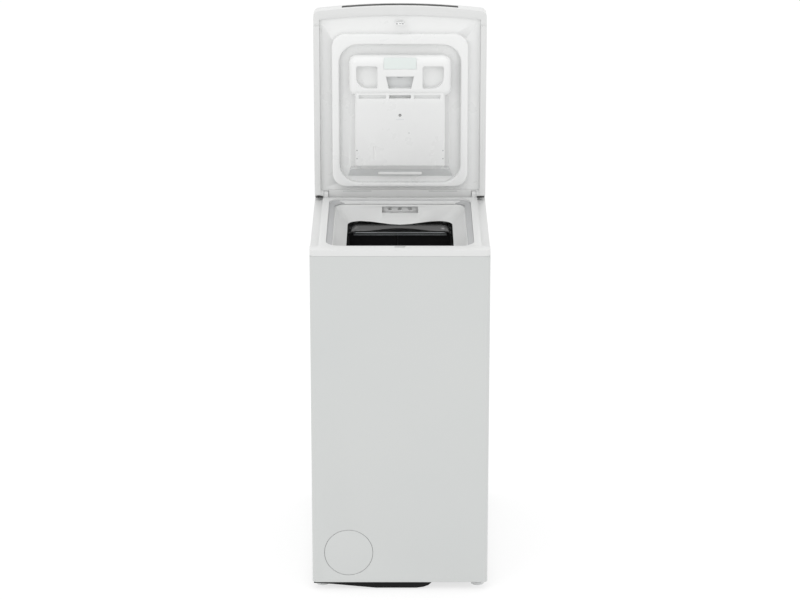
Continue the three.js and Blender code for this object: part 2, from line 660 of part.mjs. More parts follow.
function makeLidLock() {
  const box = block(-30, 30, LATCH_Y - 20, LATCH_Y + 7, SHEET_TOP - 25, SHEET_TOP);
  const pocket = block(-12, 12, LATCH_Y - 5, LATCH_Y + 5, SHEET_TOP - 16, SHEET_TOP + 5);
  add("lid_lock", "black", cut(box, pocket));
}

// Turns a solid drawn flat (Y along the slope, Z out of it) onto the console's slope.
function onSlope(solid) {
  const turn = new THREE.Matrix4().makeRotationX(SLOPE);
  turn.setPosition(0, SLOPE_START.y, SLOPE_START.z);
  return moved(solid, turn);
}

function makeConsole() {
  const base = FRAME_BOTTOM;
  const profile = shapeOf([
    [CONSOLE_FRONT, base], [BACK, base], [BACK, CONSOLE_TOP - 10], [BACK - 10, CONSOLE_TOP],
    [SLOPE_END.y, SLOPE_END.z], [SLOPE_START.y, SLOPE_START.z], [CONSOLE_FRONT, SLOPE_START.z - 7]]);
  const inside = shapeOf([
    [CONSOLE_FRONT + WALL, base - 5], [BACK - WALL, base - 5], [BACK - WALL, CONSOLE_TOP - 14],
    [SLOPE_END.y, CONSOLE_TOP - 14], [SLOPE_START.y + 4, SLOPE_START.z - 14],
    [CONSOLE_FRONT + WALL, SLOPE_START.z - 14]]);
  const shell = cut(prismX(profile, LEFT, RIGHT), prismX(inside, LEFT + WALL, RIGHT - WALL));
  const seat = onSlope(block(
    -FASCIA_HALF - GAP, FASCIA_HALF + GAP, 7 - GAP, 7 + FASCIA_LENGTH + GAP, -FASCIA_THICK - GAP, 5));
  const shaftHole = onSlope(bar("z", 5 + GAP, -30, 5, KNOB_X, FASCIA_MIDDLE));
  const buttonHole = bar("z", BUTTON_RADIUS + 0.4, -30, 5, BUTTON_X, FASCIA_MIDDLE);
  add("control_console", "moulding", cut(shell, seat, shaftHole, onSlope(buttonHole)));

  const plate = block(-FASCIA_HALF, FASCIA_HALF, 7, 7 + FASCIA_LENGTH, -FASCIA_THICK, 0);
  const knobHole = bar("z", 5 + GAP, -9, 5, KNOB_X, FASCIA_MIDDLE);
  add("console_fascia", "fascia", onSlope(cut(plate, knobHole, buttonHole)));

  const skirt = bar("z", KNOB_RADIUS, 0.5, KNOB_HEIGHT, KNOB_X, FASCIA_MIDDLE, 32);
  const shaft = bar("z", 5, -16, 1, KNOB_X, FASCIA_MIDDLE);
  add("programme_knob", "grey", onSlope(union(skirt, shaft)));
  add("start_button", "grey", onSlope(bar("z", BUTTON_RADIUS, -12, BUTTON_HEIGHT, BUTTON_X, FASCIA_MIDDLE)));
}

function makeTub() {
  const drumAxis = [TUB_Y, TUB_Z];
  const inner = TUB_RADIUS - TUB_WALL;
  const seam = (TUB_LEFT + TUB_RIGHT) / 2;
  const wall = 2.5;
  const outside = bar("x", TUB_RADIUS, TUB_LEFT, TUB_RIGHT, ...drumAxis, ROUND);
  const inside = bar("x", inner, TUB_LEFT + TUB_WALL, TUB_RIGHT - TUB_WALL, ...drumAxis, ROUND);
  const neckOuter = slab(
    roundedBox(-MOUTH_HALF - wall, MOUTH_HALF + wall, MOUTH_FRONT - wall, MOUTH_BACK + wall, 30),
    TUB_Z + 100, MOUTH_Z);
  const neckInner = slab(
    roundedBox(-MOUTH_HALF, MOUTH_HALF, MOUTH_FRONT, MOUTH_BACK, 28), TUB_Z + 90, MOUTH_Z + 5);
  const hub = (x0, x1) => bar("x", BEARING_RADIUS + 6, x0, x1, ...drumAxis, 24);
  const bores = [
    bar("x", BEARING_RADIUS + GAP, TUB_LEFT - 1, TUB_LEFT + BEARING_WIDTH + 1, ...drumAxis, 24),
    bar("x", BEARING_RADIUS + GAP, TUB_RIGHT - BEARING_WIDTH - 1, TUB_RIGHT + 1, ...drumAxis, 24)];
  const spigot = pipe("z", 20, 15, HOSE_TOP, HOSE_TOP + 40, FILTER_X, HOSE_Y);
  const lugs = [
    block(-SPRING_X - 8, TUB_LEFT + 1, TUB_Y - 6, TUB_Y + 6, SPRING_LOW - 8, SPRING_LOW - GAP),
    block(TUB_RIGHT - 1, SPRING_X + 8, TUB_Y - 6, TUB_Y + 6, SPRING_LOW - 8, SPRING_LOW - GAP)];
  const shell = union(
    cut(union(outside, neckOuter), inside, neckInner),
    hub(TUB_LEFT, TUB_LEFT + BEARING_WIDTH + 1), hub(TUB_RIGHT - BEARING_WIDTH - 1, TUB_RIGHT),
    cut(spigot, inside), ...lugs);
  const drain = bar("z", 15, HOSE_TOP - 1, HOSE_TOP + 50, FILTER_X, HOSE_Y);
  const tub = cut(shell, drain, ...bores);
  const far = 1000;
  const cutLeft = block(-far, seam - GAP / 2, -far, far, -far, far + far);
  const cutRight = block(seam + GAP / 2, far, -far, far, -far, far + far);
  add("tub_left_half", "tub", tub.intersect(cutLeft));
  add("tub_right_half", "tub", tub.intersect(cutRight));
  add("bearing_left", "steel", pipe(
    "x", BEARING_RADIUS, SHAFT_RADIUS + GAP, TUB_LEFT, TUB_LEFT + BEARING_WIDTH, ...drumAxis, 24));
  add("bearing_right", "steel", pipe(
    "x", BEARING_RADIUS, SHAFT_RADIUS + GAP, TUB_RIGHT - BEARING_WIDTH, TUB_RIGHT, ...drumAxis, 24));
}

function makeSprings() {
  for (const [name, side] of [["suspension_spring_left", -1], ["suspension_spring_right", 1]]) {
    const coils = 8;
    const points = [];
    const pitch = (SPRING_HIGH - SPRING_LOW - 2 * GAP) / coils;
    points.push(new THREE.Vector2(0, 0));
    for (let i = 0; i < coils; i += 1) {
      points.push(new THREE.Vector2(SPRING_RADIUS - 2.5, i * pitch));
      points.push(new THREE.Vector2(SPRING_RADIUS, (i + 0.5) * pitch));
    }
    points.push(new THREE.Vector2(SPRING_RADIUS - 2.5, coils * pitch));
    points.push(new THREE.Vector2(0, coils * pitch));
    const geometry = new THREE.LatheGeometry(points, 8);
    geometry.rotateX(Math.PI / 2);
    geometry.translate(side * SPRING_X, TUB_Y, SPRING_LOW + GAP);
    add(name, "steel", solidOf(geometry));
  }
}

function makeDampers() {
  const top = TUB_Z - Math.sqrt((TUB_RADIUS + GAP) ** 2 - DAMPER_RADIUS ** 2) - 0.6;
  const floor = TRAY_Z + TRAY_FLOOR;
  for (const [end, side] of [["left", -1], ["right", 1]]) {
    const x = side * DAMPER_X;
    const barrel = bar("z", DAMPER_RADIUS, floor + GAP, floor + 130, x, TUB_Y);
    const bore = bar("z", DAMPER_RADIUS - 3, floor + 5, floor + 140, x, TUB_Y);
    add("damper_cylinder_" + end, "steel", cut(barrel, bore));
    add("damper_rod_" + end, "steel", bar("z", DAMPER_RADIUS - 3 - GAP, floor + 45, top, x, TUB_Y));
  }
}

function makeCounterweights() {
  const clear = bar("x", TUB_RADIUS + 0.5, TUB_LEFT - 50, TUB_RIGHT + 50, TUB_Y, TUB_Z, ROUND * 2);
  const rear = block(
    TUB_LEFT + 30, TUB_RIGHT - 20, TUB_Y + 170, BACK - 24, TUB_Z - 85, TUB_Z + 85);
  const front = block(
    FILTER_X + 60, TUB_RIGHT - 10, FRONT + 18, TUB_Y - 90, TUB_Z - 275, TUB_Z - 160);
  add("counterweight_rear", "concrete", cut(rear, clear));
  add("counterweight_front", "concrete", cut(front, clear));
}

function makeHeater() {
  const reach = 30;
  const z = TUB_Z - Math.sqrt((TUB_RADIUS - TUB_WALL - DRUM_GAP / 2) ** 2 - reach ** 2);
  const start = TUB_LEFT + TUB_WALL + 2;
  const end = TUB_RIGHT - 60;
  const path = new THREE.CurvePath();
  path.add(new THREE.LineCurve3(
    new THREE.Vector3(start, TUB_Y - reach, z), new THREE.Vector3(end, TUB_Y - reach, z)));
  path.add(new THREE.CubicBezierCurve3(
    new THREE.Vector3(end, TUB_Y - reach, z), new THREE.Vector3(end + 38, TUB_Y - reach, z),
    new THREE.Vector3(end + 38, TUB_Y + reach, z), new THREE.Vector3(end, TUB_Y + reach, z)));
  path.add(new THREE.LineCurve3(
    new THREE.Vector3(end, TUB_Y + reach, z), new THREE.Vector3(start, TUB_Y + reach, z)));
  const section = new THREE.Shape();
  section.absarc(0, 0, 3.5, 0, Math.PI * 2, false);
  const geometry = new THREE.ExtrudeGeometry(
    section, { extrudePath: path, steps: 40, curveSegments: 4, bevelEnabled: false });
  add("heater_element", "steel", solidOf(geometry));
}

function makeDrum() {
  const place = [TUB_Y, TUB_Z];
  const inner = DRUM_RADIUS - DRUM_SHEET;
  const tube = cut(
    bar("x", DRUM_RADIUS, DRUM_LEFT, DRUM_RIGHT, ...place, ROUND),
    bar("x", inner, DRUM_LEFT - 1, DRUM_RIGHT + 1, ...place, ROUND));
  const middle = (DRUM_LEFT + DRUM_RIGHT) / 2;
  const wedge = (from, to) => {
    const far = DRUM_RADIUS * 1.5;
    const point = (angle) => [
      TUB_Y + far * Math.sin(THREE.MathUtils.degToRad(angle)),
      TUB_Z + far * Math.cos(THREE.MathUtils.degToRad(angle))];
    return shapeOf([[TUB_Y, TUB_Z], point(to), point((from + to) / 2), point(from)]);
  };
  const hatch = prismX(wedge(-HATCH_ANGLE, HATCH_ANGLE), middle - HATCH_HALF, middle + HATCH_HALF);
  add("drum_shell", "steel", cut(tube, hatch));

  const end = (x0, x1) => bar("x", DRUM_RADIUS, x0, x1, ...place, ROUND);
  const shaftLeft = bar("x", SHAFT_RADIUS, TUB_LEFT - 6, DRUM_LEFT - 1, ...place, 24);
  const shaftRight = bar("x", SHAFT_RADIUS, DRUM_RIGHT + 1, PULLEY_RIGHT + 3, ...place, 24);
  add("drum_end_left", "steel", union(end(DRUM_LEFT - 1.8, DRUM_LEFT - GAP), shaftLeft));
  add("drum_end_right", "steel", union(end(DRUM_RIGHT + GAP, DRUM_RIGHT + 1.8), shaftRight));

  LIFTER_ANGLES.forEach((angle, i) => {
    const radians = THREE.MathUtils.degToRad(angle);
    const height = 45;
    const seat = inner - 6;
    const side = [Math.cos(radians), -Math.sin(radians)];
    const out = [Math.sin(radians), Math.cos(radians)];
    const at = (r, w) => [TUB_Y + out[0] * r + side[0] * w, TUB_Z + out[1] * r + side[1] * w];
    const outline = shapeOf([at(seat, -28), at(seat, 28), at(seat - height, 8), at(seat - height, -8)]);
    const lifter = prismX(outline, DRUM_LEFT + 12, DRUM_RIGHT - 12);
    add("drum_lifter_" + (i + 1), "grey", lifter);
  });

  const flapHalf = HATCH_HALF - FLAP_GAP;
  const slit = THREE.MathUtils.radToDeg(FLAP_GAP / DRUM_RADIUS);
  const button = bar(
    "z", HATCH_BUTTON_RADIUS + 0.5, TUB_Z, TUB_Z + DRUM_RADIUS + 10, middle, HATCH_BUTTON_Y, 20);
  const sector = (from, to) => tube.intersect(prismX(wedge(from, to), middle - flapHalf, middle + flapHalf));
  add("flap_front", "steel", cut(sector(-HATCH_ANGLE + slit, -slit / 2), button));
  add("flap_rear", "steel", sector(slit / 2, HATCH_ANGLE - slit));
  const buttonTop = TUB_Z + Math.sqrt(DRUM_RADIUS ** 2 - (HATCH_BUTTON_Y - TUB_Y) ** 2) + 1;
  add("flap_button", "grey", bar(
    "z", HATCH_BUTTON_RADIUS, buttonTop - 9, buttonTop, middle, HATCH_BUTTON_Y, 20));

  const rim = bar("x", PULLEY_RADIUS, PULLEY_LEFT, PULLEY_RIGHT, ...place, ROUND);
  const recess = cut(
    bar("x", PULLEY_RADIUS - 12, PULLEY_LEFT + 5, PULLEY_RIGHT + 1, ...place, ROUND),
    bar("x", 30, PULLEY_LEFT + 4, PULLEY_RIGHT + 2, ...place, ROUND));
  const bore = bar("x", SHAFT_RADIUS + GAP, PULLEY_LEFT - 1, PULLEY_RIGHT + 1, ...place, 24);
  add("drum_pulley", "aluminium", cut(rim, recess, bore));
}

function beltOutline(grow) {
  const big = { y: TUB_Y, z: TUB_Z, r: PULLEY_RADIUS + grow };
  const small = { y: MOTOR_Y, z: MOTOR_Z, r: MOTOR_PULLEY_RADIUS + grow };
  const span = Math.hypot(small.y - big.y, small.z - big.z);
  const base = Math.atan2(small.z - big.z, small.y - big.y);
  const tangent = Math.acos((big.r - small.r) / span);
  const points = [];
  const arc = (circle, from, to, steps) => {
    for (let i = 0; i <= steps; i += 1) {
      const angle = from + ((to - from) * i) / steps;
      points.push([circle.y + circle.r * Math.cos(angle), circle.z + circle.r * Math.sin(angle)]);
    }
  };
  arc(big, base + tangent, base - tangent + 2 * Math.PI, 30);
  arc(small, base - tangent, base + tangent, 8);
  return shapeOf(points);
}

function makeDrive() {
  const x0 = PULLEY_LEFT + 1;
  const x1 = PULLEY_RIGHT - 1;
  const loop = prismX(beltOutline(0.8 + BELT_THICK), x0, x1);
  const inside = prismX(beltOutline(0.8), x0 - 1, x1 + 1);
  add("drive_belt", "rubber", cut(loop, inside));

  const motorRight = TUB_RIGHT;
  const body = bar("x", MOTOR_RADIUS, motorRight - MOTOR_LENGTH, motorRight, MOTOR_Y, MOTOR_Z, 24);
  const clear = bar("x", TUB_RADIUS + 0.5, TUB_LEFT - 50, TUB_RIGHT + 50, TUB_Y, TUB_Z, ROUND * 2);
  const strap = (x) => block(x - 6, x + 6, MOTOR_Y - 30, MOTOR_Y + 30, MOTOR_Z, MOTOR_Z + 130);
  const bore = bar("x", 5 + GAP, motorRight - 10, motorRight + 1, MOTOR_Y, MOTOR_Z);
  const straps = cut(union(strap(motorRight - 30), strap(motorRight - MOTOR_LENGTH + 30)), clear);
  add("motor", "aluminium", cut(union(body, straps), bore));
  add("motor_pulley", "steel", union(
    bar("x", MOTOR_PULLEY_RADIUS, PULLEY_LEFT, PULLEY_RIGHT, MOTOR_Y, MOTOR_Z),
    bar("x", 5, motorRight - 9, PULLEY_LEFT + 1, MOTOR_Y, MOTOR_Z)));
}

// Lid pieces are drawn with the lid open: u runs up from the hinge and v runs back.
function lidBlock(x0, x1, u0, u1, v0, v1) {
  return block(x0, x1, AXIS_Y + v0, AXIS_Y + v1, AXIS_Z + u0, AXIS_Z + u1);
}

function lidPrism(shape, v0, v1) {
  const lift = new THREE.Matrix4().makeTranslation(0, 0, AXIS_Z);
  return moved(prismY(shape, AXIS_Y + v0, AXIS_Y + v1), lift);
}

function bowAt(x) {
  return LID_LENGTH - BOW_RADIUS + Math.sqrt(BOW_RADIUS ** 2 - x ** 2);
}

function lidOutline(half, rear, inset) {
  const shape = new THREE.Shape();
  const steps = 12;
  const corner = Math.max(LID_CORNER - inset, 2);
  const reach = half - corner;
  shape.moveTo(-half, rear);
  shape.lineTo(half, rear);
  shape.lineTo(half, bowAt(reach) - inset - corner);
  shape.absarc(reach, bowAt(reach) - inset - corner, corner, 0, Math.PI / 2, false);
  for (let i = 1; i < steps; i += 1) {
    const x = reach - (2 * reach * i) / steps;
    shape.lineTo(x, bowAt(x) - inset);
  }
  shape.absarc(-reach, bowAt(reach) - inset - corner, corner, Math.PI / 2, Math.PI, false);
  shape.lineTo(-half, rear);
  return shape;
}

function makeLidCover() {
  const inner = LID_TOP - LID_SKIN;
  const rimInner = RIGHT - SIDE_RIM;
  const outline = lidOutline(RIGHT, -LID_REAR, 0);
  const top = lidPrism(outline, inner, LID_TOP);
  const deepRim = cut(
    lidPrism(lidOutline(RIGHT, 0, 0), RIM_LOW, inner + 1),
    lidBlock(-rimInner, rimInner, -20, LID_LENGTH + 20, RIM_LOW - 1, inner + 2),
    lidBlock(-RIGHT - 1, RIGHT + 1, DEEP_RIM_END, LID_LENGTH + 1, RIM_LOW - 1, FRONT_RIM_LOW));
  const frontRim = cut(
    lidPrism(lidOutline(RIGHT, 200, 0), FRONT_RIM_LOW, inner + 1),
    lidPrism(lidOutline(rimInner, 100, FRONT_RIM), FRONT_RIM_LOW - 1, inner + 2));
  const rearRim = lidBlock(-RIGHT, RIGHT, -LID_REAR, LINER_START - 0.5, -LID_SKIN, inner + 1);
  const rearHollow = lidBlock(
    -RIGHT + SIDE_RIM + 8, RIGHT - SIDE_RIM - 8, -LID_REAR + LID_SKIN, LINER_START + 1, 0, inner);
  const pockets = [-1, 1].map((side) => lidBlock(
    side > 0 ? rimInner - 1 : LEFT + LID_SKIN, side > 0 ? RIGHT - LID_SKIN : -rimInner + 1,
    LINER_START + 8, bowAt(BOW_HALF) - FRONT_RIM - 10, LINER_FACE + LID_SKIN + 1, inner));
  const frontHollow = cut(
    lidPrism(lidOutline(rimInner, 100, LID_SKIN), LINER_FACE + LID_SKIN, inner),
    lidBlock(
      -HANDLE_HALF - 5, HANDLE_HALF + 5, bowAt(HANDLE_HALF) - HANDLE_HEIGHT - 6, LID_LENGTH + 5, -50, 50));
  const post = EAR_LENGTH + 4 + 0.5;
  const notches = [-1, 1].map((side) => {
    const a = side * (RIGHT - post + 1);
    const b = side * (OPENING_HALF + 2);
    return lidBlock(Math.min(a, b), Math.max(a, b), -LID_REAR - 1, POST_RADIUS + 1, -40, EAR_RADIUS + 2);
  });
  const handleSeat = handleSolid(GAP);
  let cover = union(top, deepRim, frontRim, cut(rearRim, rearHollow));
  cover = cut(cover, ...pockets, frontHollow, ...notches, handleSeat);
  for (const side of [-1, 1]) {
    const x0 = side * (RIGHT - 4);
    const x1 = side * (RIGHT - 4 - EAR_LENGTH);
    const ear = bar("x", EAR_RADIUS, Math.min(x0, x1), Math.max(x0, x1), AXIS_Y, AXIS_Z, 24);
    const underEar = lidBlock(-RIGHT - 1, RIGHT + 1, -40, 0, -40, 0);
    cover = union(cut(cover, cut(underEar, block(-rimInner, rimInner, -999, 999, -999, 1999))), ear);
  }
  for (const side of [-1, 1]) {
    const x0 = side * (RIGHT - 8);
    const x1 = side * (RIGHT - 4 - EAR_LENGTH - 5);
    cover = cut(cover, bar("x", PIN_RADIUS + GAP, Math.min(x0, x1), Math.max(x0, x1), AXIS_Y, AXIS_Z));
  }
  add("lid_cover", "moulding", cover);
}

function makeHingePins() {
  for (const [name, side] of [["hinge_pin_left", -1], ["hinge_pin_right", 1]]) {
    const x0 = side * (RIGHT - 9);
    const x1 = side * (OPENING_HALF + 4);
    add(name, "steel", bar("x", PIN_RADIUS, Math.min(x0, x1), Math.max(x0, x1), AXIS_Y, AXIS_Z));
  }
}

function handleSolid(grow) {
  const shape = new THREE.Shape();
  const steps = 10;
  const half = HANDLE_HALF + grow;
  for (let i = 0; i <= steps; i += 1) {
    const x = -half + (2 * half * i) / steps;
    const u = bowAt(x) - HANDLE_HEIGHT - grow;
    if (i === 0) shape.moveTo(x, u);
    else shape.lineTo(x, u);
  }
  for (let i = 0; i <= steps; i += 1) {
    const x = half - (2 * half * i) / steps;
    shape.lineTo(x, bowAt(x) - GAP + (grow > 0 ? 5 : 0));
  }
  shape.closePath();
  const middle = 20;
  return lidPrism(shape, middle - HANDLE_WIDTH / 2 - grow, middle + HANDLE_WIDTH / 2 + grow);
}

function makeLidLiner() {
  const back = LINER_FACE + LID_SKIN;
  const plate = lidPrism(lidOutline(LINER_HALF, LINER_START, FRONT_RIM + GAP), LINER_FACE, back);
  const plug = lidPrism(
    roundedBox(-PLUG_HALF, PLUG_HALF, PLUG_START, PLUG_END, PLUG_CORNER), -PLUG_DEPTH, LINER_FACE + 1);
  const recessHalf = PLUG_HALF - PLUG_BAND;
  const recess = lidPrism(
    roundedBox(-recessHalf, recessHalf, PLUG_START + PLUG_BAND - 7, PLUG_END - PLUG_BAND - 7, 44),
    -PLUG_DEPTH - 1, LINER_FACE);
  const hollow = cut(
    lidPrism(
      roundedBox(-PLUG_HALF + 3, PLUG_HALF - 3, PLUG_START + 3, PLUG_END - 3, PLUG_CORNER - 3),
      -PLUG_DEPTH + 3, back + 1),
    lidPrism(
      roundedBox(
        -recessHalf - 3, recessHalf + 3, PLUG_START + PLUG_BAND - 10, PLUG_END - PLUG_BAND - 4, 47),
      -PLUG_DEPTH - 1, back + 2));
  const ledge = prismX(shapeOf([
    [AXIS_Y + LINER_FACE + 1, AXIS_Z + LEDGE_START],
    [AXIS_Y + LINER_FACE + 1, AXIS_Z + LEDGE_END],
    [AXIS_Y - LEDGE_DEPTH, AXIS_Z + LEDGE_END],
    [AXIS_Y + LINER_FACE, AXIS_Z + LEDGE_START]]), -LEDGE_HALF, LEDGE_HALF);
  add("lid_liner", "liner", union(cut(union(plate, plug), recess, hollow), ledge));
}

function makeLidLatch() {
  const stem = lidBlock(-10, 10, LATCH_U - 3, LATCH_U + 1.5, LINER_FACE - 26, LINER_FACE - GAP);
  const hook = lidBlock(-8, 8, LATCH_U - 3, LATCH_U + 3, LINER_FACE - 26, LINER_FACE - 20);
  add("lid_latch", "moulding", union(stem, hook));
}

function makeDispenser() {
  const half = DISPENSER_HALF;
  const wide = half + DISPENSER_FLARE;
  const shoulder = DISPENSER_END - 95;
  const w = 2.2;
  const body = (inset) => shapeOf([
    [-half + inset, DISPENSER_START + inset], [half - inset, DISPENSER_START + inset],
    [half - inset, shoulder], [wide - inset, shoulder + 22],
    [wide - inset, DISPENSER_END - 14], [wide - 14, DISPENSER_END - inset],
    [-wide + 14, DISPENSER_END - inset], [-wide + inset, DISPENSER_END - 14],
    [-wide + inset, shoulder + 22], [-half + inset, shoulder]]);
  const v1 = LINER_FACE - GAP;
  const outer = lidPrism(body(0), DISPENSER_FACE, v1);
  const inside = cut(
    lidPrism(body(w), DISPENSER_FACE + w, v1 - w),
    lidBlock(-POCKET_MIDDLE / 2 - 2 * w, -POCKET_MIDDLE / 2 - w, 0, LID_LENGTH, -50, 50),
    lidBlock(POCKET_MIDDLE / 2 + w, POCKET_MIDDLE / 2 + 2 * w, 0, LID_LENGTH, -50, 50));
  const mouth = (x0, x1, u0, u1) => lidBlock(x0, x1, u0, u1, DISPENSER_FACE - 1, DISPENSER_FACE + w + 1);
  const sideMouths = [-1, 1].map((side) => {
    const a = side * SIDE_POCKET_INSET;
    const b = side * (DISPENSER_HALF - SIDE_POCKET_EDGE);
    return mouth(Math.min(a, b), Math.max(a, b), SIDE_POCKET_START, SIDE_POCKET_END);
  });
  const slotEdge = half - SLOT_EDGE;
  const slots = [[-slotEdge, -33], [-25, 25], [33, slotEdge]].map(
    ([x0, x1]) => mouth(x0, x1, SLOT_START, SLOT_END));
  const middleMouth = mouth(
    -POCKET_MIDDLE / 2, POCKET_MIDDLE / 2, POCKET_END - POCKET_HEIGHT, POCKET_END);
  add("dispenser_tray", "liner", cut(outer, inside, ...sideMouths, middleMouth, ...slots));

  const cap = lidBlock(
    -POCKET_MIDDLE / 2 + 0.5, POCKET_MIDDLE / 2 - 0.5, POCKET_END - POCKET_HEIGHT + 0.5,
    POCKET_END - 0.5, DISPENSER_FACE + 1, DISPENSER_FACE + 12);
  const hole = lidPrism(shapeOf([
    [-12, POCKET_END - POCKET_HEIGHT + 6], [12, POCKET_END - POCKET_HEIGHT + 6],
    [24, POCKET_END - POCKET_HEIGHT + 30], [-24, POCKET_END - POCKET_HEIGHT + 30]]),
    DISPENSER_FACE - 1, DISPENSER_FACE + 8);
  add("softener_cap", "grey", cut(cap, hole));
}

makeCabinetShell();
makeBackPanel();
makeInletValve();
makeBaseTray();
makeFeet();
makeCastors();
makeFilterAndPump();
makeSumpHose();
makeTopFrame();
makeLidSeal();
makeFunnel();
makeWaterNozzle();
makeBellows();
makeLidLock();
makeConsole();
makeTub();
makeSprings();
makeDampers();
makeCounterweights();
makeHeater();
makeDrum();
makeDrive();
makeLidCover();
makeHingePins();
add("lid_handle", "black", handleSolid(0));
makeLidLiner();
makeLidLatch();
makeDispenser();

export default machine;
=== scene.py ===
"""Looks for a slim top-loading washing machine with its lid open.

Each sub-assembly of the machine is a class with its sizes as fields. It builds
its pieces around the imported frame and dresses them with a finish.
"""

from __future__ import annotations

import json
import logging
import math
from contextlib import contextmanager
from dataclasses import dataclass, field
from enum import Enum
from typing import Callable, Iterable, Iterator, Sequence

import bpy
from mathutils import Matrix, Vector

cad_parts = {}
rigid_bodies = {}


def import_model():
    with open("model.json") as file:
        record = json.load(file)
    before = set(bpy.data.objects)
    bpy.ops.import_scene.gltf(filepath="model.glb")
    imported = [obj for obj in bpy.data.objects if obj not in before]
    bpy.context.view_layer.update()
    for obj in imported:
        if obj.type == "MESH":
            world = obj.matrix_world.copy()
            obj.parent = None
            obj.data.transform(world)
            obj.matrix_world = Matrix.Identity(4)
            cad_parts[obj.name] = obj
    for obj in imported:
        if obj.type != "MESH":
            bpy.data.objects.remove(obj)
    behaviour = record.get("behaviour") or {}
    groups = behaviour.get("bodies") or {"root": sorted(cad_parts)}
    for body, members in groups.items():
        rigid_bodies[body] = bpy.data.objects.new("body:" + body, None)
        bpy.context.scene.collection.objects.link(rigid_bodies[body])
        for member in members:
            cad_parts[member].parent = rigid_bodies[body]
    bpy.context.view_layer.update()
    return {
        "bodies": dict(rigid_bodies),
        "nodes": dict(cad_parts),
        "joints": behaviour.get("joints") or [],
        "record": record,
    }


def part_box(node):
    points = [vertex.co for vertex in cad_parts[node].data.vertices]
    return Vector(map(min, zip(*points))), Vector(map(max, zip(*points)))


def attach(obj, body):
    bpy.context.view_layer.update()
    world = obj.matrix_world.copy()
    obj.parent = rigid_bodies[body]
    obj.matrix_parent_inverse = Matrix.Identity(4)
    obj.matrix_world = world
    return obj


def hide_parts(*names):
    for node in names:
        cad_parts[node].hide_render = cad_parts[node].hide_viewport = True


LOG = logging.getLogger("washer")
MM = 0.001

Point = tuple[float, float, float]
Colour = tuple[float, float, float]


class Side(Enum):
    """Left or right of the machine, seen from the front."""

    LEFT = -1
    RIGHT = 1

    def span(self, near: float, far: float) -> tuple[float, float]:
        """Returns two distances from the middle as places across, the lower first."""
        low, high = sorted((self.value * near, self.value * far))
        return low, high


# --------------------------------------------------------------- shader maths


class Link:
    """A shader socket that takes part in Python arithmetic."""

    def __init__(self, tree: "Tree", socket: bpy.types.NodeSocket) -> None:
        """Keeps the socket and the tree that it belongs to.

        Args:
            tree: The tree that new nodes go into.
            socket: The output socket that this link reads.
        """
        self.tree = tree
        self.socket = socket

    def _math(self, operation: str, first: object, second: object) -> "Link":
        """Adds a Math node.

        Args:
            operation: The node's operation.
            first: A link or a number.
            second: A link or a number.

        Returns:
            The node's result.
        """
        return self.tree.add("ShaderNodeMath", {"operation": operation}, [first, second])

    def __radd__(self, other: object) -> "Link":
        """Adds two values."""
        return self._math("ADD", other, self)

    def __sub__(self, other: object) -> "Link":
        """Takes other away."""
        return self._math("SUBTRACT", self, other)

    def __mul__(self, other: object) -> "Link":
        """Multiplies two values."""
        return self._math("MULTIPLY", self, other)

    def turned(self, other: "Link") -> "Link":
        """Returns the angle whose tangent is this value over another."""
        return self._math("ARCTAN2", self, other)

    def limited(self) -> "Link":
        """Returns the value held between 0 and 1."""
        return self.tree.add("ShaderNodeClamp", {}, {"Value": self, "Min": 0.0, "Max": 1.0})


